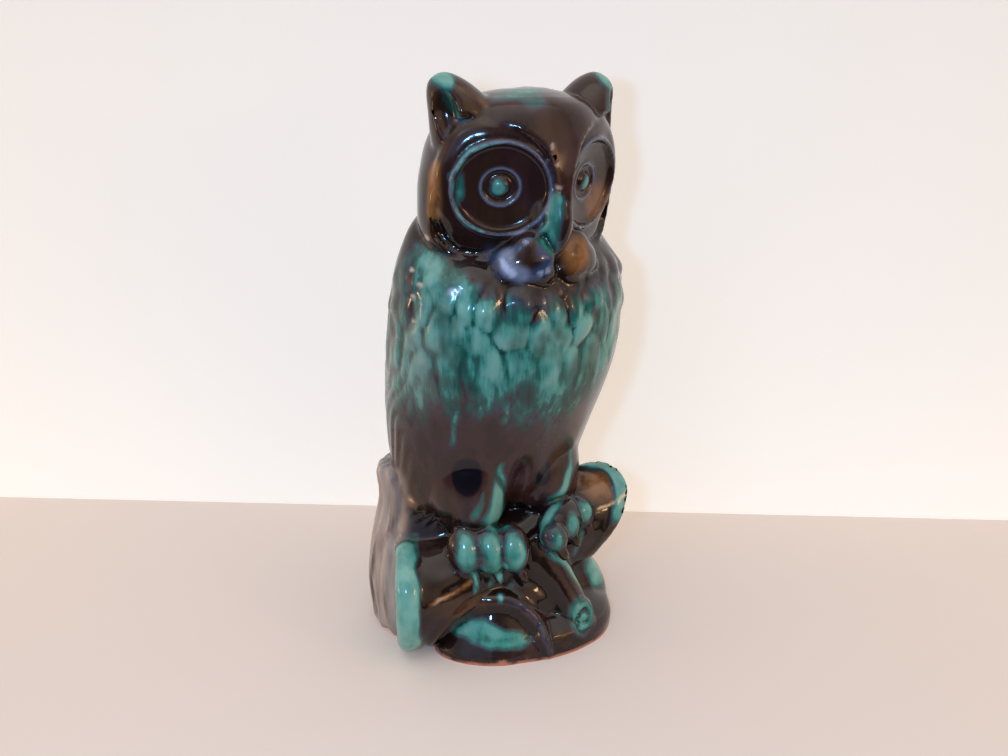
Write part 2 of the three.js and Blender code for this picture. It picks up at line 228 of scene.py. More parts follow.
class Bench:
    """Adds, shapes and joins meshes, with nothing else selected."""

    @staticmethod
    def clear() -> None:
        """Leaves edit mode and deselects everything."""
        if bpy.context.object and bpy.context.object.mode != "OBJECT":
            bpy.ops.object.mode_set(mode="OBJECT")
        bpy.ops.object.select_all(action="DESELECT")

    @staticmethod
    def pick(*objects: Object) -> Object:
        """Selects these objects alone, the first one active.

        Args:
            objects: What is selected.

        Returns:
            The active object.
        """
        Bench.clear()
        for item in objects:
            item.select_set(True)
        bpy.context.view_layer.objects.active = objects[0]
        return objects[0]

    @staticmethod
    @contextmanager
    def editing(item: Object) -> Iterator[None]:
        """Edit mode for one object, with its whole mesh selected.

        Args:
            item: The object.

        Yields:
            Nothing; the object goes back to object mode afterwards.
        """
        Bench.pick(item)
        bpy.ops.object.mode_set(mode="EDIT")
        bpy.ops.mesh.select_all(action="SELECT")
        yield
        bpy.ops.object.mode_set(mode="OBJECT")

    @staticmethod
    def settle(item: Object, matrix: Matrix) -> Object:
        """Moves an object by a matrix and applies the move to its mesh.

        Args:
            item: The object.
            matrix: Where it goes.

        Returns:
            The same object, at the origin and unturned.
        """
        Bench.pick(item)
        item.matrix_world = matrix @ item.matrix_world
        bpy.ops.object.transform_apply(location=True, rotation=True, scale=True)
        return item

    @staticmethod
    def stack(name: str, rings: Sequence[Level], sides: int, rounds: int = 0) -> Object:
        """A form built up from a disc that is extruded and resized ring by ring.

        Args:
            name: Name of the new object.
            rings: The rings, from the first disc on.
            sides: Points around each ring.
            rounds: Levels of subdivision that smooth it.

        Returns:
            A closed form.
        """
        Bench.clear()
        bpy.ops.mesh.primitive_circle_add(vertices=sides, radius=1.0, fill_type="NGON", location=(0, 0, 0))
        item = bpy.context.object
        item.name = name
        first = rings[0]
        with Bench.editing(item):
            bpy.ops.transform.resize(value=(first.half_width, first.half_depth, 1), center_override=(0, 0, 0))
            bpy.ops.transform.translate(value=first.centre)
            for before, ring in zip(rings, rings[1:]):
                bpy.ops.mesh.extrude_region_move(TRANSFORM_OT_translate={"value": ring.centre - before.centre})
                grow = (ring.half_width / before.half_width, ring.half_depth / before.half_depth, 1)
                bpy.ops.transform.resize(value=grow, center_override=ring.centre)
            bpy.ops.mesh.select_all(action="SELECT")
            bpy.ops.mesh.normals_make_consistent(inside=False)
        if rounds:
            Bench.modify(item, "SUBSURF", levels=rounds, render_levels=rounds)
        return item

    @staticmethod
    def turned(name: str, profile: Pairs, sides: int, matrix: Matrix) -> Object:
        """A form turned about its own +Z axis, then put in place.

        Args:
            name: Name of the new object.
            profile: Pairs of radius and distance along the axis; no radius is 0.
            sides: Points around each ring.
            matrix: Where the form goes.

        Returns:
            A closed form.
        """
        rings = [Level(along, radius, radius) for radius, along in profile]
        return Bench.settle(Bench.stack(name, rings, sides), matrix)

    @staticmethod
    def ball(name: str, centre: Vector, radii: Triple, turn: float = 0.0,
             lean: float = 0.0, tilt: float = 0.0) -> Object:
        """An egg shape from a sphere that is resized, turned and moved in edit mode.

        Args:
            name: Name of the new object.
            centre: Its middle.
            radii: Half sizes along side, front and height.
            turn: Turn about the upright axis, in degrees.
            lean: How far its top leans toward +X, in degrees.
            tilt: How far its top leans back, in degrees.

        Returns:
            A closed form.
        """
        Bench.clear()
        bpy.ops.mesh.primitive_uv_sphere_add(segments=32, ring_count=20, radius=1.0, location=(0, 0, 0))
        item = bpy.context.object
        item.name = name
        spin = (Matrix.Rotation(math.radians(turn), 4, "Z") @ Matrix.Rotation(math.radians(lean), 4, "Y")
                @ Matrix.Rotation(math.radians(-tilt), 4, "X"))
        return Bench.settle(item, Matrix.Translation(centre) @ spin @ Matrix.Diagonal((*radii, 1)))

    @staticmethod
    def modify(item: Object, kind: str, **settings: object) -> None:
        """Adds a modifier to an object and applies it.

        Args:
            item: The object.
            kind: Type of the modifier.
            settings: Its settings.
        """
        Bench.pick(item)
        modifier = item.modifiers.new(kind.lower(), kind)
        for name, value in settings.items():
            setattr(modifier, name, value)
        bpy.ops.object.modifier_apply(modifier=modifier.name)

    @staticmethod
    def cut(item: Object, tools: Iterable[Object]) -> Object:
        """Cuts other forms out of one form, and removes them.

        Args:
            item: What is cut.
            tools: What is taken out of it.

        Returns:
            The cut object.
        """
        for tool in tools:
            Bench.modify(item, "BOOLEAN", operation="DIFFERENCE", solver="EXACT", object=tool)
            bpy.data.objects.remove(tool)
        return item

    @staticmethod
    def join(name: str, parts: Sequence[Object]) -> Object:
        """Joins objects to one object with one mesh.

        Args:
            name: Name of the joined object.
            parts: The objects.

        Returns:
            The joined object.
        """
        item = Bench.pick(*parts)
        bpy.ops.object.join()
        item.name = name
        return item

    @staticmethod
    def remesh(item: Object, cell: float, soften: int) -> None:
        """Melts overlapping forms into one skin of even faces, then softens it.

        Args:
            item: The object.
            cell: Size of a face.
            soften: Rounds of smoothing.
        """
        Bench.modify(item, "REMESH", mode="VOXEL", voxel_size=cell)
        if soften:
            Bench.modify(item, "SMOOTH", factor=0.5, iterations=soften)

    @staticmethod
    def read(item: Object) -> tuple[Array, Array]:
        """Places and normals of an object's points, one a row."""
        count = len(item.data.vertices)
        points, normals = np.empty(count * 3, dtype=np.float32), np.empty(count * 3, dtype=np.float32)
        item.data.vertices.foreach_get("co", points)
        item.data.vertex_normals.foreach_get("vector", normals)
        return points.reshape(-1, 3).astype(float), normals.reshape(-1, 3).astype(float)

    @staticmethod
    def write(item: Object, points: Array) -> None:
        """Puts an object's points at new places.

        Args:
            item: The object.
            points: The new places, one a row.
        """
        item.data.vertices.foreach_set("co", points.astype(np.float32).ravel())
        item.data.update()


# The forms of the casting

@dataclass
class Torso:
    """The owl's body, with the feathers of its chest and wings.

    Attributes:
        levels: Ovals of the body, from the log up into the head.
        row: Height of a row of chest feathers.
        columns: How many chest feathers would go round the body.
        chest_rise: How far a chest feather stands out.
        wing_rise: How far the long wing feathers stand out.
        leg: Ovals of the right leg, mirrored, from the ankle up into the belly.
        left_leg: Ovals of the left leg.
        teal_low: Angles round the body, and the lower edge of the teal band there.
        teal_high: The same for its upper edge.
        teal_amount: The same for its thickness.
        drips: Angles of the drips below the band, and the height where each ends.
        cleft_width: Half width of the cleft between the legs.
        cleft_depth: How deep it is.
    """

    levels: LevelTable = LevelTable(
        (36, 36, 20, 0, -12), (55, 38.5, 22, 0, -13), (62, 42.5, 29, 0, -10), (72, 44.5, 34, 0, -7),
        (85, 46, 37, 0, -4.5), (105, 49, 42, 0, 0), (124, 51.3, 44.5, 0, 6.5), (142, 52.5, 42.4, 0, 11),
        (160, 52, 40.3, 0, 13.5), (171, 51, 36, 0, 14), (179, 49, 29, 0, 12.5), (187, 44.5, 21, 0, 9),
        (196, 35, 16, 0, 5), (206, 20, 11, 0, 3),
    )
    row: float = 13.0
    columns: int = 29
    chest_rise: float = 2.1
    wing_rise: float = 1.9
    leg: LevelTable = LevelTable(
        (50, 9, 9, 19, 14), (58, 12, 13, 19, 13), (64, 16.5, 18.5, 19, 10.5), (71, 18.5, 22, 19.5, 8.5),
        (80, 19, 23.5, 20, 7), (92, 18, 23, 19, 6.5), (104, 15, 19, 18, 7), (112, 11, 14, 18, 8),
    )
    left_leg: LevelTable = LevelTable(
        (50, 9, 9, 19, 14), (58, 12.5, 13, 18.5, 13), (64, 18, 18.5, 17.5, 10.5), (71, 20.5, 22, 17.5, 8.5),
        (80, 21.5, 23.5, 17.5, 7), (92, 19.5, 22.5, 17, 6.5), (104, 15, 17, 17, 7), (112, 10, 12, 17.5, 8),
    )
    cleft_width: float = 2.6
    cleft_depth: float = 4.0
    teal_low: Pairs = (
        (-180, 130), (-120, 126), (-95, 118), (-78, 121), (-62, 131), (-45, 134), (-30, 130), (-12, 125), (5, 122),
        (25, 126), (45, 131), (80, 128), (130, 127), (180, 130),
    )
    teal_high: Pairs = (
        (-180, 176), (-90, 182), (-66, 187), (-50, 179), (-34, 169), (0, 166), (28, 170), (60, 178), (180, 176),
    )
    teal_amount: Pairs = (
        (-180, 0.6), (-110, 0.55), (-85, 0.65), (-62, 0.95), (-40, 0.95), (0, 1.0), (25, 0.95), (50, 0.7), (180, 0.6),
    )
    drips: Pairs = (
        (-88, 108), (-76, 112), (-64, 116), (-55, 121), (-48, 99), (-43, 117), (-37, 113), (-30, 119), (-24, 110),
        (-18, 116), (-11, 106), (-5, 113), (2, 109), (9, 117), (15, 113), (23, 120), (33, 116), (46, 119), (60, 114),
        (78, 118), (97, 112), (118, 117), (140, 113), (163, 118), (-175, 112), (-152, 117), (-130, 113), (-108, 116),
    )

    def build(self) -> list[Object]:
        """Models the body, with a cleft pressed into its front, and the two legs.

        Returns:
            Closed forms that overlap.
        """
        body = Bench.stack("body", self.levels.rings(36), 64, rounds=1)
        points, _ = Bench.read(body)
        middle = -self.levels.value("front", points[:, 2])
        ahead = np.clip(middle - points[:, 1], 0, None)
        press = self.cleft_depth * hill(points[:, 0] + 4, self.cleft_width) * smooth(points[:, 2], 98, 78)
        points[:, 1] += np.minimum(press, ahead * 0.9)
        Bench.write(body, points)
        legs = [Bench.stack("leg", table.rings(16, mirror=hand), 32, rounds=1)
                for table, hand in ((self.leg, -1), (self.left_leg, 1))]
        return [body, *legs]

    def around(self, points: Array) -> tuple[Array, Array]:
        """Angle round the body, in degrees from its front toward +X, and share of the way out to its skin.

        Args:
            points: Places in millimetres, one a row.

        Returns:
            Angles and shares.
        """
        height = points[:, 2]
        across = points[:, 0] / self.levels.value("half_width", height)
        ahead = (-points[:, 1] - self.levels.value("front", height)) / self.levels.value("half_depth", height)
        return np.degrees(np.arctan2(across, ahead)), np.hypot(across, ahead)

    def relief(self, points: Array) -> Array:
        """How far the feathers stand out at each point of the skin.

        Args:
            points: Places in millimetres, one a row.

        Returns:
            Heights in millimetres.
        """
        angle, share = self.around(points)
        true_height = points[:, 2]
        height = true_height + 3.0 * Waves(11, (24, 24, 30)).at(points)
        angle = angle + 3.0 * Waves(12, (20, 20, 24)).at(points)
        on_body = smooth(share, 0.8, 0.92) * smooth(share, 1.32, 1.2)
        side = np.abs(angle)
        chest = smooth(true_height, 116, 156) * smooth(true_height, 180, 168) * smooth(side, 118, 92)
        feathers = self.scales(angle, height) * (1 + 0.35 * Waves(14, (16, 16, 16)).at(points))
        wing = smooth(true_height, 62, 84) * smooth(true_height, 176, 150) * window(side, 62, 156, 18)
        wing = wing * np.where(angle < 0, 0.35, 1.0)
        slant = (side + (height - 48) * 0.62) / 11.5
        long_feathers = 0.5 + 0.5 * np.cos(2 * math.pi * slant + 0.9 * Waves(13, (20, 20, 40)).at(points))
        back = window(true_height, 70, 172, 18) * smooth(side, 138, 160) * 0.5
        hem = hill(true_height - 61.5 - 1.5 * np.sin(np.radians(angle * 9)), 3.0) * window(angle, -72, -22, 10)
        return on_body * (
            0.9 * hem * np.cos(np.radians(angle * 47))
            + self.chest_rise * chest * (1 - 0.7 * wing) * feathers
            + self.wing_rise * wing * (long_feathers ** 0.7 - 0.35)
            + self.chest_rise * back * feathers
        )

    def teal(self, points: Array) -> Array:
        """How thick the teal glaze lies on the body: a band that runs down in drips.

        Args:
            points: Places in millimetres, one a row.

        Returns:
            0 where there is none and 1 where it is thickest.
        """
        angle, share = self.around(points)
        height = points[:, 2]
        angle = angle + 1.2 * Waves(41, (30, 30, 22)).at(points)
        low = np.interp(angle, *zip(*self.teal_low)) + 3.5 * Waves(42, (13, 13, 200)).at(points)
        high = np.interp(angle, *zip(*self.teal_high)) + 2.5 * Waves(43, (14, 14, 60)).at(points)
        amount = np.interp(angle, *zip(*self.teal_amount))
        band = amount * smooth(height, low - 30, low + 19) * smooth(height, high + 7, high - 9)
        band *= 1 + 0.22 * hill(height - 142, 13) - 0.58 * smooth(height, 147, 164) * smooth(np.abs(angle + 52), 12, 34)
        for at, end in self.drips:
            arc = (angle - at + 180) % 360 - 180
            tail = smooth(height, end - 1.5, end + 5)
            band = np.maximum(band, 0.62 * hill(arc, 1.3 + 0.6 * hill(height - end - 2, 3)) * tail
                              * smooth(height, low + 14, low + 2))
        return band * smooth(share, 0.8, 0.9) * smooth(share, 1.34, 1.22)

    def pale_side_reflection(self, points: Array) -> Array:
        """Painted pale grey reflection of the wall on the body's sides, 0 to 1."""
        angle, share = self.around(points)
        left, right = window(angle, 30, 110, 16), window(angle, -150, -84, 12)
        sides = np.max([left, right, 0.8 * window(angle, -90, -52, 14)], axis=0)
        return 0.3 * sides * window(points[:, 2], 108, 178, 26) * window(share, 0.8, 1.32, 0.1)

    def scales(self, angle: Array, height: Array) -> Array:
        """Drop-shaped feathers in staggered, slightly shuffled rows.

        Args:
            angle: Degrees round the body.
            height: Height of each point.

        Returns:
            0 in the creases and 1 near each feather's tip.
        """
        draw = np.random.default_rng(17).uniform(-1, 1, (64, self.columns, 3))
        across, down = angle / 360 * self.columns, (184 - height) / self.row
        first = np.floor(down)
        rise = np.zeros_like(height)
        for row in (first - 1, first, first + 1):
            shift = 0.5 * (row % 2)
            for step in (-1, 0, 1):
                column = np.round(across - shift) + step
                shuffle = draw[row.astype(int) % 64, column.astype(int) % self.columns]
                low = (down - row - 0.5 - 0.22 * shuffle[:, 1]) / 0.86
                wide = (across - column - shift - 0.16 * shuffle[:, 0]) / (0.62 + 0.08 * shuffle[:, 2])
                wide = wide * (1 + 0.4 * np.clip(-low, 0, 1))
                drop = np.clip(1 - wide ** 2 - low ** 2, 0, 1) ** 0.75
                rise = np.maximum(rise, drop * (0.62 + 0.38 * low + 0.12 * shuffle[:, 2]))
        return rise


@dataclass
class Face:
    """Head, eye discs, masks, ears, beak, cheeks and the two puffs beside the beak.

    Attributes:
        head: Ovals of the head.
        eye: Side, front and height of an eye disc's middle.
        outward: How far an eye disc looks outward, in degrees.
        down: How far it looks down, in degrees.
        flatten: Height of a disc over its width.
        mask_edge: Directions from straight up toward the outside, in degrees, and how far the mask reaches there.
        disc_profile: Pairs of radius and distance forward of an eye disc.
        mask_profile: The same for the mask, with the radius as a share of its reach.
        seat_profile: The same for what is cut away in front of the mask.
        socket_profile: The same for the hole in the mask that the disc sits in.
        ear: Ovals of an ear.
        hollow: Side, front and height of the middle of the ear's hollow.
    """

    head: LevelTable = LevelTable(
        (170, 27, 14, 0, 17), (178, 38, 20.5, 0, 18.5), (188, 43, 28, 0, 20.5), (200, 44, 33, 0, 22.5),
        (212, 43, 34, 0, 22.5), (223, 39, 33, 0, 21.5), (231, 34.5, 30.5, 0, 21), (238, 29, 27, 0, 21.5),
        (242.6, 20, 18, 0, 24), (244.3, 7, 7, 0, 25),
    )
    eye: Triple = (21.3, 42.5, 207.0)
    outward: float = 26.0
    down: float = 9.0
    flatten: float = 0.94
    mask_edge: Pairs = (
        (-90, 20.9), (-60, 21.3), (-30, 22.4), (-10, 23.4), (8, 25.2), (22, 28.4), (30, 29.4), (39, 28.6),
        (52, 27.0), (66, 26.2), (90, 26.2), (104, 26.4), (116, 27.8), (128, 29.6), (140, 30.4), (150, 29.6),
        (162, 27.6), (174, 24.6), (191, 21.6), (208, 21.0), (270, 20.9),
    )
    disc_profile: Pairs = (
        (19.9, -14), (19.9, -1.6), (19.7, 0.2), (19.1, 0.9), (18.5, 0.7), (18.0, -0.6), (17.0, -1.9), (13.5, -2.5),
        (9.4, -3.2), (8.8, -3.3), (8.3, -3.0), (7.8, -2.6), (7.3, -2.8), (6.8, -3.8), (5.4, -4.3), (4.8, -4.3),
        (4.3, -3.7), (3.4, -2.8), (1.8, -2.2), (0.4, -2.1),
    )
    mask_profile: Pairs = (
        (1.0, -17), (1.0, -7), (1.0, -2.2), (0.985, -0.9), (0.955, -0.2), (0.9, 0), (0.8, -0.2), (0.6, -0.2),
        (0.1, -0.2),
    )
    seat_profile: Pairs = ((0.985, -6), (1.0, 0), (1.1, 8), (1.25, 20))
    socket_profile: Pairs = ((19.5, -7), (19.5, 20))
    ear: LevelTable = LevelTable(
        (214, 12, 10, 26, 24), (226, 14, 12.5, 27, 25.5), (234, 14.3, 12, 27.8, 26), (240, 12.6, 10.4, 30, 25.5),
        (244, 10, 8.6, 32.4, 25), (247, 7.4, 6.6, 34, 24.5), (249, 4.6, 4.4, 35, 24), (250.1, 1.6, 1.6, 35.3, 24),
    )
    hollow: Triple = (40.6, 34.2, 234)

    def frame_of(self, hand: int, flatten: float = 1.0) -> Matrix:
        """Where a form turned about +Z goes so that its axis is the line an eye looks along.

        Args:
            hand: 1 for the owl's left eye, -1 for its right.
            flatten: Height over width.

        Returns:
            The matrix that moves it.
        """
        turn = (Matrix.Rotation(math.radians(hand * self.outward), 4, "Z")
                @ Matrix.Rotation(math.radians(self.down), 4, "X"))
        side, front, height = self.eye
        spin = Matrix.Diagonal((1, 1, flatten, 1)) @ Matrix.Rotation(math.radians(90), 4, "X")
        return Matrix.Translation(place(hand * side, front, height)) @ turn @ spin

    def round_form(self, name: str, profile: Pairs, hand: int) -> Object:
        """A round form turned about the line an eye looks along.

        Args:
            name: Name of the new object.
            profile: Pairs of radius and distance forward.
            hand: 1 for the owl's left eye, -1 for its right.

        Returns:
            A closed form.
        """
        return Bench.turned(name, profile, 72, self.frame_of(hand, self.flatten))

    def mask_form(self, name: str, profile: Pairs, hand: int) -> Object:
        """A form with the mask's outline, bent back round the head.

        Args:
            name: Name of the new object.
            profile: Pairs of radius, as a share of the mask's reach, and distance forward.
            hand: 1 for the owl's left eye, -1 for its right.

        Returns:
            A closed form.
        """
        item = Bench.turned(name, profile, 96, Matrix.Identity(4))
        points, _ = Bench.read(item)
        toward = np.degrees(np.arctan2(points[:, 0] * hand, points[:, 1]))
        angles, reach = zip(*self.mask_edge)
        spread = np.interp((toward + 90) % 360 - 90, angles, reach)
        points[:, :2] *= spread[:, None]
        radius = np.hypot(points[:, 0], points[:, 1])
        bend = 0.062 - 0.048 * smooth(np.abs(toward), 122, 148)
        points[:, 2] -= 0.6 + bend * np.clip(radius - 19.5, 0, 13) ** 2
        Bench.write(item, points)
        return Bench.settle(item, self.frame_of(hand))

    def build(self) -> list[Object]:
        """Models the head and all that is on it.

        Returns:
            Closed forms that overlap.
        """
        head = Bench.stack("head", self.head.rings(20), 48, rounds=1)
        Bench.cut(head, [self.mask_form("seat", self.seat_profile, hand) for hand in HANDS])
        parts = [head, self.one_beak()]
        for hand in HANDS:
            mask = self.mask_form("mask", self.mask_profile, hand)
            parts.append(Bench.cut(mask, [self.round_form("socket", self.socket_profile, each) for each in HANDS]))
            parts.append(self.round_form("disc", self.disc_profile, hand))
            parts.append(self.one_ear(hand))
            for name, (side, front, height), radii, turn, lean in (
                ("puff", (12.5, 43.5, 178), (14, 8.5, 9), 30, 16),
                ("peak", (10, 44.5, 182.5), (8.5, 7.6, 8.2), 25, -25),
                ("fold", (6.5, 46.5, 176), (6.5, 6.5, 7.5), 20, 20),
                ("cheek", (4.5, 43, 193), (5, 6.5, 12), 20, -8),
            ):
                parts.append(Bench.ball(name, place(hand * side, front, height), radii, hand * turn, hand * lean))
        return parts

    def rims(self, points: Array) -> Array:
        """How close each point is to the raised rings of the eyes.

        Args:
            points: Places in millimetres, one a row.

        Returns:
            1 on a ring and 0 away from it.
        """
        found = [np.maximum(hill(radius - 19.2, 0.5), hill(radius - 7.7, 0.5)) * window(ahead, -9, 4, 2)
                 for radius, ahead in self.from_eyes(points)]
        return np.maximum(*found)

    def from_eyes(self, points: Array) -> list[tuple[Array, Array]]:
        """How far each point is from the line an eye looks along, and how far forward, for both eyes."""
        found = []
        for hand in HANDS:
            back = np.array(self.frame_of(hand, self.flatten).inverted())
            local = points @ back[:3, :3].T + back[:3, 3]
            found.append((np.hypot(local[:, 0], local[:, 1]), local[:, 2]))
        return found

    def one_ear(self, hand: int) -> Object:
        """A broad, rounded ear with a hollow that faces outward and to the front.

        Args:
            hand: 1 for the owl's left ear, -1 for its right.

        Returns:
            A closed form.
        """
        ear = Bench.stack("ear", self.ear.rings(16, mirror=hand), 32, rounds=1)
        side, front, height = self.hollow
        hollow = Bench.ball("hollow", place(hand * side, front, height), (5.4, 6.2, 12), hand * 46, hand * 10)
        return Bench.cut(ear, [hollow, self.mask_form("seat", self.seat_profile, hand)])

    @staticmethod
    def one_beak() -> Object:
        """A narrow ridge that hooks down between the puffs."""
        beak = Bench.ball("beak", Vector((0, 0, 0)), (6, 8.5, 17.5))
        points, _ = Bench.read(beak)
        share = points[:, 2] / 17.5
        rise, drop = np.clip(share, 0, 1), np.clip(-share, 0, 1)
        points[:, 0] *= 1 - 0.4 * rise
        points[:, 1] -= 3 * drop * (1 - drop)
        Bench.write(beak, points + np.array([0, -48.2, 198]))
        return beak


@dataclass(frozen=True)
class Foot:
    """One foot: its three toes, side by side over the log.

    Attributes:
        outward: 1 for the owl's left foot, -1 for its right.
        middle: Side, front and height of the middle toe.
        toe: Half sizes of a toe.
        step: How far the next toe outward is to the side, to the front and up.
        talon: Half length of a talon.
    """

    outward: int
    middle: Triple
    toe: Triple
    step: Triple
    talon: float = 6.0

    def toes(self) -> list[Vector]:
        """Middle of each toe, from the inner one to the outer one."""
        side, front, height = self.middle
        aside, ahead, up = self.step
        return [place(side + k * self.outward * aside, front + k * ahead, height + k * up) for k in (-1, 0, 1)]

    def build(self) -> list[Object]:
        """Models the instep, and a toe and a talon three times.

        Returns:
            Closed forms that overlap.
        """
        side, front, height = self.middle
        turn = self.outward * TOE_TURN
        parts = [Bench.ball("instep", place(side, front - 3.5, height), (16, 8.6, 9.6), turn=turn)]
        _, deep, tall = self.toe
        for middle in self.toes():
            parts.append(Bench.ball("toe", middle, self.toe, turn=turn, tilt=18, lean=-9))
            parts.append(Bench.ball("talon", middle + place(2.4, deep * 0.55, -tall), (2.2, 2.6, self.talon),
                                    turn=turn, tilt=12, lean=-24))
        return parts


@dataclass
class Perch:
    """Log, side branch, rock, mound, trunk, tail and base.

    Attributes:
        near: Middle of the log's near end.
        far: Middle of its far end.
        log_radii: Radius of the log at its near and far end.
        rim_turn: Turn of the upright cut at the near end, in degrees.
        far_cut: A point on the log's middle line where the slanted far cut crosses it.
        far_turn: Turn of the far cut, in degrees.
        far_lean: How far the far cut leans from upright, in degrees.
        trunk: Ovals of the trunk behind the log.
        tail: Ovals of the tail.
        outline: Side and front of points along the base's edge.
        arc_line: How far to the viewer's right points of the rock's arc lie, and their height.
        pool_top: The same for the upper edge of the teal pool below the arc.
        pool_low: The same for its lower edge.
        shares: Height of each ring of the base, and its size over the outline's.
    """

    near: Triple = (-47.5, 4.0, 25.0)
    far: Triple = (58.0, 17.0, 51.5)
    log_radii: tuple[float, float] = (23.2, 20.0)
    rim_turn: float = -27.0
    far_cut: Triple = (37.8, 14.8, 47.0)
    far_turn: float = 20.0
    far_lean: float = 28.0
    trunk: LevelTable = LevelTable(
        (-3, 43, 34, -9, -15), (20, 44.5, 34, -10, -15), (40, 42.5, 33, -10.5, -15), (57, 37.5, 30, -11, -16),
        (68, 35.5, 26, -12, -17), (78, 34.5, 20, -15, -18), (82, 31, 15, -17, -18),
    )
    tail: LevelTable = LevelTable(
        (24, 15, 5, 0, -44), (48, 18, 7, 0, -43), (75, 20, 9, 0, -39), (108, 20, 8, 0, -31),
    )
    outline: Pairs = (
        (-50, -10), (-49, 6), (-40, 11), (-32, 30), (-18, 43.5), (-3, 49), (14, 50.5), (31, 46.5), (43, 37.5),
        (51.5, 23), (56, 8), (53, -12), (38, -32), (14, -46), (-14, -48), (-38, -39), (-48, -24),
    )
    arc_line: Pairs = (
        (-30, 3), (-27, 8.5), (-24, 13.5), (-20.3, 18), (-17, 21.2), (-13.7, 23.5), (-10.5, 25.3), (-7.2, 26.4),
        (-2, 27.3), (3.7, 27.4), (8, 26.7), (12.5, 24.8), (17, 20.8), (19.5, 17.6), (21.8, 13.8), (24, 9.5), (27, 3),
    )
    pool_top: Pairs = (
        (-22, 12.5), (-20, 13.8), (-14, 18), (-8, 20.4), (-4, 20), (1.6, 16.8), (8, 13.4), (15, 11), (18, 9.5),
    )
    pool_low: Pairs = ((-22, 13), (-16, 11.6), (-8, 9.2), (0, 7.4), (8, 7.2), (18, 8))
    shares: Pairs = ((-3, 0.98), (0, 0.99), (5, 0.995), (10, 0.965), (15, 0.84), (19, 0.5))

    def build(self) -> list[Object]:
        """Models all that the owl stands on.

        Returns:
            Closed forms that overlap.
        """
        trunk = Bench.stack("trunk", self.trunk.rings(16), 64, rounds=1)
        tail = Bench.stack("tail", self.tail.rings(10), 24, rounds=1)
        rock = Bench.ball("rock", place(-16.5, 26.5, 0), (26, 16.5, 29.5), turn=-32)
        mound = Bench.ball("mound", place(34, 10, 2), (22, 22, 28))
        knot = Bench.ball("knot", place(21.5, 42.5, 13), (6.6, 4.8, 8.8), turn=-20, tilt=25, lean=-12)
        return [trunk, tail, rock, mound, knot, self.one_base(), *self.one_log(), *self.one_branch()]

    def relief(self, points: Array) -> Array:
        """How far bark, grooves, the rock's arc and the spiral stand out at each point of the skin.

        Args:
            points: Places in millimetres, one a row.

        Returns:
            Heights in millimetres.
        """
        side, front, height = points[:, 0], -points[:, 1], points[:, 2]
        waves = Waves(21, (26, 26, 40)).at(points)
        # Upright ridges of bark round the trunk
        width, depth = self.trunk.value("half_width", height), self.trunk.value("half_depth", height)
        across, ahead = (side + 11) / width, (front + 15.5) / depth
        on_trunk = window(np.hypot(across, ahead), 0.86, 1.14, 0.08)
        on_trunk = on_trunk * smooth(height, 84, 74) * smooth(ahead, 0.62, 0.35)
        ridges = np.cos(np.degrees(np.arctan2(across, ahead)) * 0.42 + 1.7 * waves + height * 0.02)
        rise = 0.75 * on_trunk * (ridges - 0.6)
        # Grooves along the log
        near, far = np.array(place(*self.near)), np.array(place(*self.far))
        way = (far - near) / np.linalg.norm(far - near)
        along = (points - near) @ way
        off = points - near - along[:, None] * way
        radius = np.linalg.norm(off, axis=1)
        log_radius = np.interp(along, (0, np.linalg.norm(far - near)), self.log_radii)
        on_log = window(radius / log_radius, 0.9, 1.1, 0.06) * smooth(front, 6, 14) * window(along, 5, 96, 8)
        turn = np.degrees(np.arctan2(off[:, 2], -off[:, 1]))
        rise += 0.3 * on_log * np.cos(np.radians(turn * 11 + 40 + 60 * waves))
        # The rock's face, sunk behind a raised arc
        across_view, toward_view = self.seen(points)
        on_rock, off_arc = self.arc(points)
        sunk = smooth(off_arc, -1.4, -4.8) * smooth(height, 1, 12)
        rise += on_rock * (2.3 * hill(off_arc, 2.1) - 3.0 * sunk)
        # The spiral on the knot
        above = height - 13
        reach = np.hypot((across_view - (VIEW_COS * 21.5 + VIEW_SIN * 45)) / 0.75, above)
        swirl = np.arctan2(above, across_view - 42)
        on_knot = smooth(reach, 8.5, 6.5) * smooth(toward_view, 20, 24)
        rise += 0.8 * on_knot * np.cos(2 * math.pi * reach / 4.6 - swirl)
        return rise

    @staticmethod
    def seen(points: Array) -> tuple[Array, Array]:
        """How far each point is to the right and toward the viewer, as the photograph looks at the piece."""
        side, front = points[:, 0], -points[:, 1]
        return VIEW_COS * side + VIEW_SIN * front, VIEW_COS * front - VIEW_SIN * side

    def arc(self, points: Array) -> tuple[Array, Array]:
        """Where the rock's front is, and how far above its arc each point lies.

        Args:
            points: Places in millimetres, one a row.

        Returns:
            1 on the rock's front and 0 elsewhere, and the distances.
        """
        across, toward_viewer = self.seen(points)
        height = points[:, 2]
        arc = np.interp(across, *zip(*self.arc_line))
        steep = np.interp(across + 1.5, *zip(*self.arc_line)) - np.interp(across - 1.5, *zip(*self.arc_line))
        on_rock = smooth(toward_viewer, 22, 29) * window(across, -31, 28, 3) * smooth(height, 35, 31)
        return on_rock, (height - arc) / np.hypot(1, steep / 3)

    def sheen(self, points: Array) -> Array:
        """Painted blue reflection on the half of the rock's arc at the viewer's right, 0 to 1."""
        on_rock, off_arc = self.arc(points)
        return on_rock * hill(off_arc, 1.1) * smooth(self.seen(points)[0], -2, 12)

    @staticmethod
    def pale_reflection(points: Array) -> Array:
        """Painted pale reflection of the wall on the trunk's outer side, at the owl's right, 0 to 1."""
        side, front, height = points[:, 0], -points[:, 1], points[:, 2]
        return smooth(side, -39, -48) * smooth(front, 3, -5) * smooth(height, 86, 76)

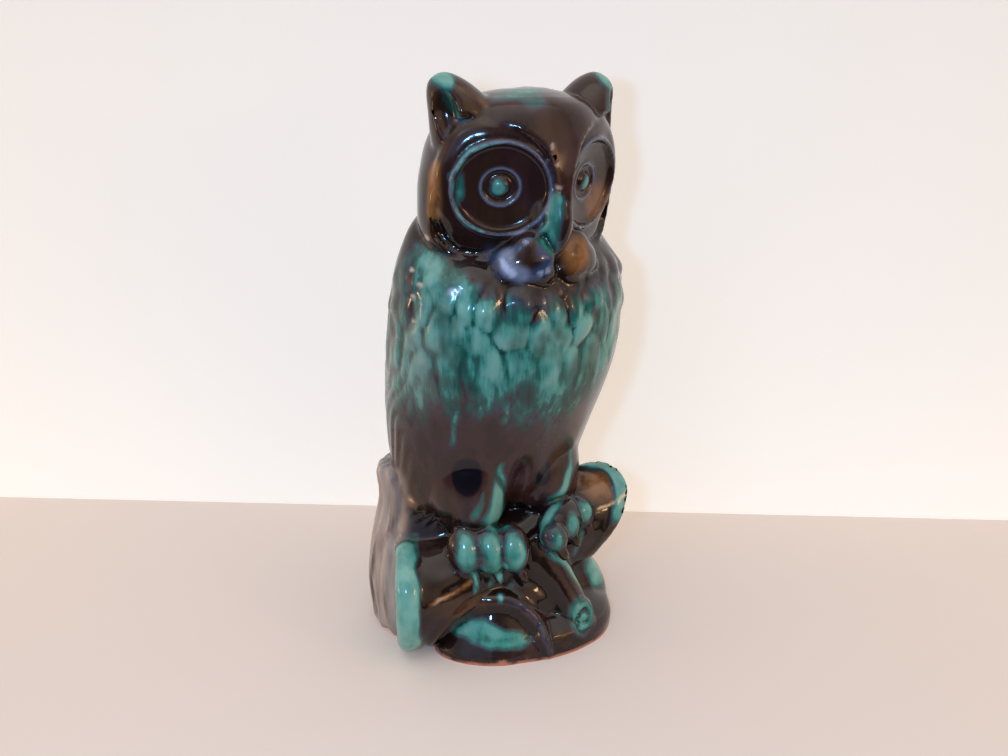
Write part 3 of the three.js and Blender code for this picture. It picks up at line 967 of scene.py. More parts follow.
    def teal(self, points: Array) -> Array:
        """How thick the teal glaze lies on the log's two ends and on the rock.

        Args:
            points: Places in millimetres, one a row.

        Returns:
            0 where there is none and 1 where it is thickest.
        """
        front = -points[:, 1]
        ragged = 1.0 * Waves(61, (15, 15, 15)).at(points)
        turn = math.radians(self.rim_turn)
        outward = np.array((-math.cos(turn), -math.sin(turn), 0))
        near = (points - np.array(place(*self.near))) @ outward
        rolled = smooth(near + 0.8 * ragged, -6.6, -4.4) * smooth(front, -2, 5) * smooth(points[:, 2], 54, 51) * 0.86
        turn, lean = math.radians(self.far_turn), math.radians(self.far_lean)
        outward = np.array((math.cos(turn) * math.cos(lean), math.sin(turn) * math.cos(lean), -math.sin(lean)))
        far = (points - np.array(place(*self.far_cut))) @ outward
        rim = 0.9 * smooth(far + 0.6 * ragged, -6.5, -4.5) * smooth(points[:, 2], 46, 56) * smooth(points[:, 0], 39, 46)
        across, _ = self.seen(points)
        height = points[:, 2] + 0.7 * Waves(62, (10, 10, 10)).at(points)
        top, low = (np.interp(across, *zip(*line)) for line in (self.pool_top, self.pool_low))
        pool = smooth(height, low - 2, low + 1.5) * smooth(height, top + 2, top - 2) * window(across, -24, 19, 4)
        return np.max([rolled, rim, 0.9 * pool * self.arc(points)[0]], axis=0)

    def log_column(self, grow: float) -> Object:
        """The log before its ends are cut.

        Args:
            grow: How much larger its radius is.

        Returns:
            A closed form.
        """
        near, far = place(*self.near), place(*self.far)
        start, end = (radius + grow for radius in self.log_radii)
        length = (far - near).length
        steps = [k / 12 for k in range(13)]
        profile = [(start, -20.0)] + [(start + (end - start) * t, length * t) for t in steps] + [(end, length + 20)]
        return Bench.turned("log", profile, 64, aimed(near, far))

    @staticmethod
    def block(middle: Triple, turn: float, lean: float, low: float, high: float) -> Object:
        """A block to cut with, between two distances from a slanted plane.

        Args:
            middle: A point of the plane.
            turn: Turn of the plane's outward line about the upright axis, in degrees.
            lean: How far that line points down, in degrees.
            low: Distance of the block's near side.
            high: Distance of its far side.

        Returns:
            A closed form.
        """
        Bench.clear()
        bpy.ops.mesh.primitive_cube_add(size=1.0, location=(0, 0, 0))
        way = (Matrix.Translation(place(*middle)) @ Matrix.Rotation(math.radians(turn), 4, "Z")
               @ Matrix.Rotation(math.radians(lean), 4, "Y"))
        shape = Matrix.Translation(((low + high) / 2, 0, 0)) @ Matrix.Diagonal((high - low, 400, 400, 1))
        return Bench.settle(bpy.context.object, way @ shape)

    def one_log(self) -> list[Object]:
        """The log with both ends cut, the thick roll of glaze at its near end and the rim at its far one."""
        far = (self.far_cut, self.far_turn, self.far_lean)
        log = Bench.cut(self.log_column(0), [self.block(self.near, self.rim_turn + 180, 0, 0, 160),
                                             self.block(*far, 0, 160)])
        far_rim = Bench.cut(self.log_column(0.9), [self.block(*far, 0, 160), self.block(*far, -170, -5.0)])
        Bench.settle(far_rim, Matrix.Translation((0, 0, 0.9)))
        face = (Matrix.Translation(place(*self.near)) @ Matrix.Rotation(math.radians(self.rim_turn), 4, "Z")
                @ Matrix.Rotation(math.radians(-90), 4, "Y"))
        roll = [(21.0, -7.2), (23.6, -5.4), (24.7, -2.6), (25.2, 0.0), (24.3, 2.8), (21.8, 4.6), (14, 4.2), (3, 3.4)]
        return [log, far_rim, Bench.turned("near_rim", roll, 64, face)]

    @staticmethod
    def one_branch() -> list[Object]:
        """The stub of a branch that runs down from between the feet, and the spiral on its end."""
        near, far = place(3, 20, 47), place(20, 40.5, 12)
        length = (far - near).length
        profile = [(15, 0), (14, length * 0.22), (12.2, length * 0.42), (10.4, length * 0.62), (9, length * 0.8),
                   (8, length * 0.93), (6.4, length), (3, length + 1.8), (0.8, length + 2.2)]
        saddle = Bench.ball("saddle", place(0, 29.5, 22), (17, 10, 12), turn=-20, lean=28)
        return [Bench.turned("branch", profile, 48, aimed(near, far)), saddle]

    def one_base(self) -> Object:
        """The low foot of the casting: its outline, drawn in toward the top."""
        steps = 72
        count = len(self.outline)
        corners = np.array([[side, -front] for side, front in self.outline], dtype=float)
        t = np.arange(steps) / steps * count
        k = t.astype(int)
        f = (t - k)[:, None]
        a, b, c, d = (corners[(k + shift) % count] for shift in (-1, 0, 1, 2))
        edge = 0.5 * (2 * b + (c - a) * f + (2 * a - 5 * b + 4 * c - d) * f ** 2 + (3 * b - a - 3 * c + d) * f ** 3)
        rings = [Level(height, share, share) for height, share in self.shares]
        base = Bench.stack("base", rings, steps)
        points, _ = Bench.read(base)
        turn = np.round(np.arctan2(points[:, 1], points[:, 0]) / (2 * math.pi) * steps).astype(int) % steps
        share = np.hypot(points[:, 0], points[:, 1])
        points[:, :2] = edge[turn] * share[:, None]
        Bench.write(base, points)
        with Bench.editing(base):
            bpy.ops.mesh.normals_make_consistent(inside=False)
        return base


@dataclass
class Casting:
    """The whole figurine: its forms melted into one skin, with relief.

    Attributes:
        torso: Body and legs.
        face: Head and face.
        perch: What the owl stands on.
        feet: The two feet.
        fine: Size of a face while the relief is worked in.
        cell: Size of a face of the finished skin, before the finest places are split.
        fine_places: Side, front, height and radius of the places with the finest faces.
        melted: The same for the places where the creases between forms are softened.
        melt_rounds: How often they are softened.
    """

    torso: Torso = field(default_factory=Torso)
    face: Face = field(default_factory=Face)
    perch: Perch = field(default_factory=Perch)
    feet: tuple[Foot, ...] = (
        Foot(-1, (-18.8, 28.2, 49.8), toe=(7.7, 6.8, 10.8), step=(9.2, -4.8, 0.0)),
        Foot(1, (18, 34.5, 55.5), toe=(6.2, 6.4, 7.0), step=(10.6, -5.4, 1.6), talon=4.5),
    )
    fine: float = 0.62
    cell: float = 1.24
    fine_places: tuple[tuple[float, float, float, float], ...] = (
        (21.3, 42.5, 207, 21), (-21.3, 42.5, 207, 21), (0, 52, 190, 12), (-20, 34, 50, 12), (19, 36, 57, 11),
    )
    melted: tuple[tuple[float, float, float, float], ...] = (
        (24, 26, 96, 17), (6, 32, 93, 13), (-22, 24, 104, 16), (33, 18, 84, 13), (-14, 46, 180, 11), (14, 46, 180, 11),
    )
    melt_rounds: int = 60

    def build(self) -> Object:
        """Models the piece.

        Returns:
            The finished object, in metres.
        """
        parts = self.torso.build() + self.face.build() + self.perch.build()
        for foot in self.feet:
            parts += foot.build()
        sculpt = Bench.join("sculpt", parts)
        Bench.remesh(sculpt, self.fine, 3)
        self.melt(sculpt)
        points, normals = Bench.read(sculpt)
        rise = self.torso.relief(points) + self.perch.relief(points) + 0.16 * Waves(31, (20, 20, 20)).at(points)
        Bench.write(sculpt, points + normals * rise[:, None])
        LOG.info("sculpt: %d faces", len(sculpt.data.polygons))
        Bench.pick(sculpt)
        bpy.ops.object.duplicate()
        owl = bpy.context.object
        owl.name = "glazed_owl"
        Bench.remesh(owl, self.cell, 0)
        self.refine(owl)
        Bench.modify(owl, "SHRINKWRAP", target=sculpt, wrap_method="NEAREST_SURFACEPOINT")
        Bench.modify(owl, "SMOOTH", factor=0.35, iterations=1)
        bpy.data.objects.remove(sculpt)
        self.stand(owl)
        LOG.info("%s: %d faces, %d triangles", owl.name, len(owl.data.polygons),
                 sum(len(face.vertices) - 2 for face in owl.data.polygons))
        return owl

    def melt(self, sculpt: Object) -> None:
        """Softens the creases between the forms in some places, as the thick glaze fills them.

        Args:
            sculpt: The joined forms.
        """
        points, _ = Bench.read(sculpt)
        group = sculpt.vertex_groups.new(name="melt")
        group.add(np.flatnonzero(inside(points, self.melted)).tolist(), 1.0, "REPLACE")
        Bench.modify(sculpt, "SMOOTH", vertex_group=group.name, factor=0.5, iterations=self.melt_rounds)

    def refine(self, owl: Object) -> None:
        """Splits the faces of the finest places.

        Args:
            owl: The object.
        """
        Bench.pick(owl)
        middles = np.empty(len(owl.data.polygons) * 3, dtype=np.float32)
        owl.data.polygons.foreach_get("center", middles)
        chosen = inside(middles.reshape(-1, 3), self.fine_places)
        bpy.ops.object.mode_set(mode="EDIT")
        bpy.ops.mesh.select_mode(type="FACE")
        bpy.ops.mesh.select_all(action="DESELECT")
        bpy.ops.object.mode_set(mode="OBJECT")
        owl.data.polygons.foreach_set("select", chosen)
        bpy.ops.object.mode_set(mode="EDIT")
        bpy.ops.mesh.subdivide(number_cuts=1)
        bpy.ops.object.mode_set(mode="OBJECT")

    @staticmethod
    def stand(owl: Object) -> None:
        """Cuts the piece flat where it stands and brings it to metres.

        Args:
            owl: The object.
        """
        with Bench.editing(owl):
            bpy.ops.mesh.bisect(plane_co=(0, 0, 0), plane_no=(0, 0, 1), use_fill=True, clear_inner=True)
        Bench.settle(owl, Matrix.Diagonal((MM, MM, MM, 1)))
        Bench.pick(owl)
        bpy.ops.object.shade_smooth_by_angle(angle=math.radians(60))


# Glaze

@dataclass(frozen=True)
class GlazeOrPaintedLightPool:
    """An oval place where a glaze has gathered, or where a highlight or reflection is painted.

    Attributes:
        centre: Side, front and height of its middle.
        radii: How far it reaches along side, front and height.
        amount: How thick it is, or how strong the painted light is.
    """

    centre: Triple
    radii: Triple
    amount: float = 1.0

    def at(self, points: Array) -> Array:
        """Thickness, or strength of the painted light, at each point, for places in millimetres, one a row."""
        side, front, height = self.centre
        away = np.linalg.norm((points - np.array((side, -front, height))) / np.array(self.radii), axis=1)
        return self.amount * smooth(away, 1.3, 0.4)


@dataclass(frozen=True)
class GlazeOrPaintedLightRun:
    """A run of a glaze, or of a painted highlight or reflection, along a line of places.

    Attributes:
        line: Side, front and height of each place.
        width: Half width at its start and end.
        amount: How thick it is, or how strong the painted light is.
    """

    line: tuple[Triple, ...]
    width: tuple[float, float]
    amount: float = 1.0

    def at(self, points: Array) -> Array:
        """Thickness, or strength of the painted light, at each point, for places in millimetres, one a row."""
        found = np.zeros(len(points))
        stops = [np.array((side, -front, height)) for side, front, height in self.line]
        last = len(stops) - 1
        for k, (start, end) in enumerate(zip(stops, stops[1:])):
            way = end - start
            t = np.clip(((points - start) @ way) / (way @ way), 0, 1)
            away = np.linalg.norm(points - start - t[:, None] * way, axis=1)
            width = self.width[0] + (self.width[1] - self.width[0]) * (k + t) / last
            found = np.maximum(found, smooth(away / width, 1.4, 0.35))
        return self.amount * found


POOLS = (
    # Ears and crown
    GlazeOrPaintedLightPool((-38, 28, 246.5), (4, 5.5, 5), 0.8), GlazeOrPaintedLightPool((-38, 25, 249.5), (5, 5, 3.5), 0.9),
    GlazeOrPaintedLightPool((36, 27, 245), (4, 7, 7), 0.85), GlazeOrPaintedLightPool((34, 31, 237), (3.4, 6, 6), 0.75),
    GlazeOrPaintedLightPool((-9, 36, 242.5), (13, 8, 5), 0.62), GlazeOrPaintedLightPool((-8, 44, 239), (6, 6, 5), 0.42),
    # Eyes
    GlazeOrPaintedLightPool((-34.8, 34.5, 206.5), (2.6, 4, 7.5), 0.8),
    GlazeOrPaintedLightPool((-21.3, 42.5, 207), (3.4, 9, 3.4), 0.9), GlazeOrPaintedLightPool((21.3, 42.5, 207), (3.4, 9, 3.4), 0.8),
    GlazeOrPaintedLightPool((40.5, 32, 213), (3, 5, 6), 0.6),
    # Feet
    GlazeOrPaintedLightPool((-29.5, 28, 52), (5.2, 7, 11), 0.8), GlazeOrPaintedLightPool((-20.5, 33, 51.5), (4.9, 7, 11.5), 0.8),
    GlazeOrPaintedLightPool((-11, 37.5, 50.5), (4.7, 7, 10.5), 0.85), GlazeOrPaintedLightPool((-20, 33, 42), (12, 7, 5), 0.6),
    GlazeOrPaintedLightPool((6.5, 41.5, 54), (4.6, 6, 6), 0.8), GlazeOrPaintedLightPool((17.5, 38.5, 57), (4.4, 6, 6), 0.8),
    GlazeOrPaintedLightPool((28.5, 33, 58), (4.6, 6, 6), 0.85),
    # Knot, base and trunk
    GlazeOrPaintedLightPool((19, 46, 14), (6.8, 6, 9.8), 0.7), GlazeOrPaintedLightPool((44, 23.5, 18), (8, 11, 9), 0.85),
    GlazeOrPaintedLightPool((47, 8, 22), (8, 12, 8), 0.5), GlazeOrPaintedLightPool((-46, -16, 76), (6, 5, 6), 0.35),
)
RUNS = (
    # Along the ear's ridge, the rim of the eye disc and the beak
    GlazeOrPaintedLightRun(((-37.6, 30.5, 241.5), (-35.9, 31.5, 238), (-35, 32.5, 235.4), (-33.2, 34, 232.5)), (2.0, 1.3), 0.8),
    GlazeOrPaintedLightRun(((-23.6, 45.4, 223.7), (-28.7, 42.9, 223), (-33.1, 39.5, 221.2), (-38.4, 34.2, 212.6), (-38.5, 34.8, 205.2),
         (-36.3, 34.7, 198.6), (-32.4, 34.6, 193.7), (-27.6, 37.1, 190.6)), (1.5, 1.5), 0.75),
    GlazeOrPaintedLightRun(((-3.4, 54, 203), (-5.0, 53.5, 198), (-5.4, 52.7, 192), (-5.0, 51, 186)), (3.2, 5.0), 0.9),
    # Between the legs and down the outer edge of the left one
    GlazeOrPaintedLightRun(((-14.8, 32.9, 95), (-14.0, 30, 84.4), (-14.2, 29.7, 77.5), (-14.8, 30, 71), (-15.2, 28.5, 63.7)), (0.5, 6.4)),
    GlazeOrPaintedLightRun(((-23.2, 29.9, 77.5), (-24.1, 29.6, 72.5), (-25.5, 28.5, 67)), (0.6, 2.6), 0.5),
    GlazeOrPaintedLightRun(((24.6, 30, 86.5), (22.6, 30.1, 78.7), (20.4, 30.3, 72), (16.6, 29.6, 66.8), (9.8, 33.9, 64.7),
         (5.9, 35.1, 62.7), (2.6, 36.1, 58.6)), (2.2, 3.8)),
    # Drips below the toes
    GlazeOrPaintedLightRun(((-28.5, 28, 47), (-27, 28.5, 39), (-26.5, 29.7, 31.5)), (2.0, 1.2), 0.85),
    GlazeOrPaintedLightRun(((-20.5, 33, 46), (-19.5, 31, 39), (-19, 29.2, 32)), (2.4, 1.3), 0.85),
    GlazeOrPaintedLightRun(((-16, 36, 44), (-17, 34.7, 36), (-16.8, 34.5, 27)), (2.2, 1.3), 0.85),
    GlazeOrPaintedLightRun(((-11, 37, 44), (-10.5, 34, 38), (-10.4, 32.1, 31)), (2.4, 1.4), 0.85),
    GlazeOrPaintedLightRun(((27, 34, 54), (26, 34, 46), (24, 33, 38)), (2.2, 1.2), 0.6),
    # The crease between the left foot and the side branch, and the edge of the base
    GlazeOrPaintedLightRun(((2, 35, 57), (2.5, 38.2, 53), (6.5, 37.5, 46), (10.3, 37.8, 41.8), (15.6, 38.1, 37), (21, 38.5, 29),
         (25, 40, 20)), (2.0, 2.4), 0.7),
    GlazeOrPaintedLightRun(((46, 30, 9), (41, 36, 5), (33, 43, 3)), (2.2, 1.6), 0.45),
)
# Brown glaze run thin and golden, and painted warm reflections and highlights on the head, puff, thigh and log
AMBER_AND_WARM_REFLECTION = (
    # Face
    GlazeOrPaintedLightPool((8, 52.5, 181.5), (8, 6, 8), 0.8), GlazeOrPaintedLightPool((30, 36, 198), (9, 8, 9), 0.6), GlazeOrPaintedLightPool((-43, 20, 186.5), (3, 3, 3), 0.7),
    GlazeOrPaintedLightRun(((-5.4, 53.7, 223.2), (-4.3, 55.5, 216.3), (-2.6, 54.1, 207.9)), (1.6, 1.4), 0.35),
    GlazeOrPaintedLightRun(((-42.3, 28, 215), (-42.4, 27.9, 206.6), (-41.9, 26.6, 198)), (3.5, 3.1), 1.0),
    GlazeOrPaintedLightRun(((-33, 32, 243), (-28, 34, 240.5), (-22, 36, 236)), (2.0, 1.6), 0.35),
    # Legs and thigh
    GlazeOrPaintedLightPool((-42.2, 0.1, 67), (2.6, 3, 4.4), 0.7), GlazeOrPaintedLightRun(((-43.6, -2.4, 60.2), (-45.2, -1.6, 53.6)), (1.4, 1.0), 0.5),
    # Log
    GlazeOrPaintedLightRun(((-50.9, 28, 29.4), (-43, 27, 31.4), (-38.1, 27.1, 32.4), (-32.3, 27.5, 34.3), (-27.5, 28.8, 36.9)),
        (1.0, 1.1), 0.7),
    GlazeOrPaintedLightRun(((37, 32.8, 57.3), (44.3, 33.7, 58.5), (51.2, 34.4, 62.1)), (0.9, 1.2), 0.9),
    GlazeOrPaintedLightPool((44, 26, 66), (11, 12, 9), 0.8), GlazeOrPaintedLightPool((-36, 30, 27), (16, 8, 6), 0.12),
)
BLUE = (
    # Painted blue reflections on the near puff's edges, the ear's tip and the shoulder
    GlazeOrPaintedLightRun(((-24, 40, 182), (-22.5, 44, 180), (-21.4, 47.6, 176.8), (-16, 51, 173.5), (-9.6, 52.8, 174.9),
         (-5.5, 53.1, 177.5), (-8.6, 52.5, 182.9)), (4.0, 2.6), 0.9),
    GlazeOrPaintedLightRun(((-21.2, 43.6, 182.8), (-18.7, 46.1, 184.1), (-16.1, 48.5, 185.7), (-13.3, 49.1, 187.9)), (1.6, 1.6), 0.9),
    GlazeOrPaintedLightPool((-33.5, 33.5, 231.5), (2.4, 2.4, 2.0), 0.7), GlazeOrPaintedLightPool((-40.3, 38.0, 168.4), (4.5, 5, 5.5), 0.9),
)
# Painted blue-white highlights on the near puff, the shoulder and the eye rims
PAINTED_HIGHLIGHT = (
    GlazeOrPaintedLightRun(((-22.4, 44.8, 180), (-22.3, 46.1, 178.6), (-21.4, 47.6, 176.8), (-19.8, 48.7, 175.2)), (1.3, 2.1), 0.75),
    GlazeOrPaintedLightRun(((-21, 45, 182), (-21, 47.6, 177), (-17, 50.2, 174.8)), (3.6, 3.6), 0.28),
    GlazeOrPaintedLightPool((-9.6, 52.8, 174.9), (1.8, 2, 0.8), 0.7), GlazeOrPaintedLightPool((-6.3, 53.1, 176), (1.0, 2, 1.2), 0.6),
    GlazeOrPaintedLightPool((-14, 49, 187.3), (1.2, 2, 0.8), 0.5), GlazeOrPaintedLightPool((-40.3, 38.0, 168.4), (2.2, 2.4, 1.8), 0.6),
    GlazeOrPaintedLightPool((-38.4, 39.2, 168.9), (1.2, 2, 1.2), 0.6),
)
# Painted golden glints: the brightest warm highlights, painted into the colour
GLINTS = tuple(GlazeOrPaintedLightPool(centre, (size, 2, size * 0.8), 0.7) for centre, size in (
    ((-49.5, 21.5, 175.4), 0.9), ((-48.7, 26.5, 170.2), 1.3), ((-50.5, 23.8, 165.1), 1.2), ((-49.3, 28.2, 162.6), 0.8),
    ((-50.7, 24.5, 156.0), 0.8), ((-5.4, 53.7, 223.2), 1.0), ((-4.3, 55.5, 216.3), 0.9), ((-2.6, 54.1, 207.9), 0.8),
    ((-42.5, 21.4, 187.4), 1.5), ((-32.2, 34, 231), 0.9), ((-42.2, 0.1, 68), 1.1),
)) + (GlazeOrPaintedLightRun(((38, 32.8, 57.5), (44.3, 33.7, 58.5), (51.2, 34.4, 62.1)), (0.5, 0.8), 0.7),
     GlazeOrPaintedLightRun(((-48, 27.8, 30), (-43, 27, 31.4), (-38.1, 27.1, 32.4), (-34, 27.3, 33.8)), (0.5, 0.4), 0.5))
# Painted dark reflections: two near-black ovals on the lower body
DARK_REFLECTION = (
    GlazeOrPaintedLightPool((-28.8, 27.5, 85.5), (6.4, 9, 9.4)), GlazeOrPaintedLightPool((8.4, 31, 79.5), (3.9, 7, 6.8)),
)


class Layer(Enum):
    """The values stored on the mesh for the glaze, and the painted highlights and reflections, to read."""

    TEAL = "teal"
    FLOW = "flow"
    CREST = "crest"
    PLUM = "plum"
    # Thin amber glaze, and painted warm reflections and glints
    AMBER_AND_WARM_REFLECTION = "amber_and_warm_reflection"
    # Painted blue reflection
    BLUE = "blue_reflection"
    # Painted blue-white highlights
    PAINTED_HIGHLIGHT = "painted_highlight"
    # Painted dark reflection
    DARK_REFLECTION = "dark_reflection"
    # Painted pale reflection
    CHALK = "pale_reflection"
    BARE = "bare"


@dataclass
class Nodes:
    """Adds and joins the nodes of one material.

    Attributes:
        tree: What the nodes are added to.
    """

    tree: bpy.types.NodeTree

    def add(self, kind: str, **settings: object) -> bpy.types.Node:
        """Adds a node.

        Args:
            kind: Type of the node.
            settings: Its settings.

        Returns:
            The node.
        """
        node = self.tree.nodes.new(kind)
        for name, value in settings.items():
            setattr(node, name, value)
        return node

    def feed(self, socket: Socket, value: object) -> None:
        """Sets a socket to a value, or links it to another node's output."""
        if isinstance(value, Socket):
            self.tree.links.new(value, socket)
        else:
            socket.default_value = value

    def maths(self, kind: str, *values: object) -> Socket:
        """A calculation with two values.

        Args:
            kind: Name of the operation.
            values: Numbers or outputs.

        Returns:
            The result.
        """
        node = self.add("ShaderNodeMath", operation=kind)
        for socket, value in zip(node.inputs, values):
            self.feed(socket, value)
        return node.outputs[0]

    def times(self, *values: object) -> Socket:
        """The product of two or more values."""
        return reduce(lambda first, second: self.maths("MULTIPLY", first, second), values)

    def plus(self, *values: object) -> Socket:
        """The sum of two or more values."""
        return reduce(lambda first, second: self.maths("ADD", first, second), values)

    def mix(self, factor: object, first: object, second: object) -> Socket:
        """A colour between two colours."""
        node = self.add("ShaderNodeMix", data_type="RGBA")
        self.feed(node.inputs["Factor"], factor)
        self.feed(node.inputs["A"], (*first, 1.0) if isinstance(first, tuple) else first)
        self.feed(node.inputs["B"], (*second, 1.0) if isinstance(second, tuple) else second)
        return node.outputs["Result"]

    def step(self, value: object, low: float, high: float) -> Socket:
        """A soft step from 0 at low to 1 at high."""
        node = self.add("ShaderNodeMapRange", interpolation_type="SMOOTHSTEP")
        self.feed(node.inputs["Value"], value)
        node.inputs["From Min"].default_value, node.inputs["From Max"].default_value = low, high
        return node.outputs["Result"]

    def noise(self, size: Triple, detail: float, turn: float = 0.0) -> Socket:
        """Noise in the object's own places.

        Args:
            size: Length of its patches along each axis, in metres.
            detail: How many finer layers it has.
            turn: Shift of the pattern.

        Returns:
            Its value, round 0.5.
        """
        where = self.add("ShaderNodeTexCoord").outputs["Object"]
        scale = self.add("ShaderNodeMapping")
        self.feed(scale.inputs["Vector"], where)
        scale.inputs["Scale"].default_value = tuple(1 / length for length in size)
        scale.inputs["Location"].default_value = (turn, turn * 0.7, turn * 1.3)
        node = self.add("ShaderNodeTexNoise")
        self.feed(node.inputs["Vector"], scale.outputs["Vector"])
        node.inputs["Scale"].default_value, node.inputs["Detail"].default_value = 1.0, detail
        return node.outputs["Fac"]

    def stored(self, layer: Layer) -> Socket:
        """A value stored on the mesh."""
        return self.add("ShaderNodeAttribute", attribute_name=layer.value).outputs["Fac"]

    def around(self, value: Socket, amount: float) -> Socket:
        """Noise round 0.5 turned into a value round 0 of the given strength."""
        return self.times(self.maths("SUBTRACT", value, 0.5), amount)


@dataclass(frozen=True)
class DripGlaze:
    """The two glazes: a glossy near-black brown one, and a teal one that has run over it, with painted highlights and
    reflections.

    Attributes:
        dark: The brown glaze where it is thick.
        plum: The brown glaze of the lower body.
        umber: The browner patches there.
        warm: The brown glaze where it breaks thin over an edge.
        rust: Spots of brown that come up through thin teal glaze.
        haze: The thinnest teal glaze over the brown.
        slate: Thin teal glaze.
        green: Teal glaze that is still thin enough to look green.
        teal: Teal glaze.
        pale: The thickest teal glaze.
        deep: Teal glaze in a dark crease.
        amber_and_warm_reflection: Brown glaze run thin and golden, and painted warm reflections and highlights.
        blue_reflection: A painted blue reflection over the brown glaze.
        painted_highlight: Painted blue-white highlights.
        gold_glint: Painted golden glints, the brightest warm highlights.
        dark_reflection: Painted dark reflections, two near-black ovals on the lower body.
        pale_reflection: Painted pale reflection on the trunk's outer side and the body's sides.
        clay: Bare clay at the foot.
        gloss: Roughness of the brown and of the teal glaze.
        matt: How much rougher the lower body is, and roughness of the bare clay.
        crest_rounds: How often the surroundings are softened to find edges and creases.
        crest_rise: How far an edge stands out that counts as fully sharp, in millimetres.
    """

    dark: Triple = (0.0125, 0.0065, 0.0048)
    plum: Triple = (0.050, 0.019, 0.024)
    umber: Triple = (0.046, 0.021, 0.011)
    warm: Triple = (0.085, 0.034, 0.013)
    rust: Triple = (0.080, 0.028, 0.028)
    haze: Triple = (0.052, 0.046, 0.070)
    slate: Triple = (0.030, 0.078, 0.084)
    green: Triple = (0.020, 0.130, 0.104)
    teal: Triple = (0.054, 0.262, 0.226)
    pale: Triple = (0.170, 0.400, 0.340)
    deep: Triple = (0.005, 0.042, 0.028)
    amber_and_warm_reflection: Triple = (0.340, 0.145, 0.048)
    blue_reflection: Triple = (0.034, 0.060, 0.130)
    painted_highlight: Triple = (0.560, 0.650, 0.860)
    gold_glint: Triple = (0.850, 0.640, 0.380)
    dark_reflection: Triple = (0.003, 0.003, 0.007)
    pale_reflection: Triple = (0.400, 0.330, 0.280)
    clay: Triple = (0.450, 0.180, 0.110)
    gloss: tuple[float, float] = (0.07, 0.15)
    matt: tuple[float, float] = (0.13, 0.75)
    crest_rounds: int = 8
    crest_rise: float = 0.35

    def paint(self, owl: Object, casting: Casting) -> None:
        """Stores on the mesh where each glaze lies, where edges are, where the clay is bare, and where highlights and
        reflections are painted.

        Args:
            owl: The finished object, in metres.
            casting: The forms that the glazes follow.
        """
        points, normals = Bench.read(owl)
        points = points / MM
        torso, perch = casting.torso, casting.perch
        warped = points + 0.7 * np.stack([Waves(71 + k, (11, 11, 11)).at(points) for k in range(3)], axis=1)
        band = torso.teal(points)
        pools = np.max([perch.teal(points), *(spot.at(warped) for spot in (*POOLS, *RUNS))], axis=0)
        front, height = -points[:, 1], points[:, 2]
        _, share = torso.around(points)
        plum = smooth(height + 5 * Waves(52, (9, 9, 30)).at(points), 60, 74) * smooth(height, 165, 150)
        head = 0.6 * smooth(height, 186, 194) * smooth(front, 24, 34)
        plum = np.maximum(plum * window(share, 0.45, 1.35, 0.12), head)
        rims = casting.face.rims(points)
        values = {
            Layer.TEAL: np.maximum(band, pools),
            Layer.FLOW: 0.22 + 0.78 * smooth(band - pools, -0.05, 0.15),
            Layer.CREST: self.crest(owl, points, normals),
            Layer.PLUM: plum,
            # Thin amber glaze, with painted warm reflections and glints
            Layer.AMBER_AND_WARM_REFLECTION: np.max([spot.at(points) for spot in (*AMBER_AND_WARM_REFLECTION, *GLINTS)], axis=0),
            # Painted blue reflection on the eye rims, the rock's arc, the puff, the ear and the shoulder
            Layer.BLUE: np.max([0.95 * rims, 0.45 * perch.sheen(points), *(spot.at(warped) for spot in BLUE)], axis=0),
            # Painted highlights along the eye rims, at the glints and on the puff
            Layer.PAINTED_HIGHLIGHT: np.max([0.2 * rims, *(spot.at(points) for spot in (*PAINTED_HIGHLIGHT, *GLINTS))], axis=0),
            # Painted dark reflections on the lower body
            Layer.DARK_REFLECTION: np.max([spot.at(points) for spot in DARK_REFLECTION], axis=0),
            # Painted pale reflections on the trunk and the body's sides
            Layer.CHALK: np.maximum(perch.pale_reflection(points), torso.pale_side_reflection(points)),
            Layer.BARE: smooth(height + 0.8 * Waves(51, (9, 9, 9)).at(points), 1.5, 0.6),
        }
        for layer, each in values.items():
            owl.data.attributes.new(layer.value, "FLOAT", "POINT").data.foreach_set("value", each.astype(np.float32))
        LOG.info("%s: %d layers of glaze values", owl.name, len(values))

    def crest(self, owl: Object, points: Array, normals: Array) -> Array:
        """How far each point stands out from its softened surroundings.

        Args:
            owl: The object.
            points: Its points in millimetres, one a row.
            normals: Their normals.

        Returns:
            -1 in a crease to 1 on an edge.
        """
        edges = np.empty(len(owl.data.edges) * 2, dtype=np.int32)
        owl.data.edges.foreach_get("vertices", edges)
        edges = edges.reshape(-1, 2)
        count = np.bincount(edges.ravel(), minlength=len(points))[:, None]
        soft = points
        for _ in range(self.crest_rounds):
            total = np.zeros_like(soft)
            for axis in range(3):
                total[:, axis] = (np.bincount(edges[:, 0], soft[edges[:, 1], axis], len(points))
                                  + np.bincount(edges[:, 1], soft[edges[:, 0], axis], len(points)))
            soft = total / count
        return np.clip(((points - soft) * normals).sum(axis=1) / self.crest_rise, -1, 1)

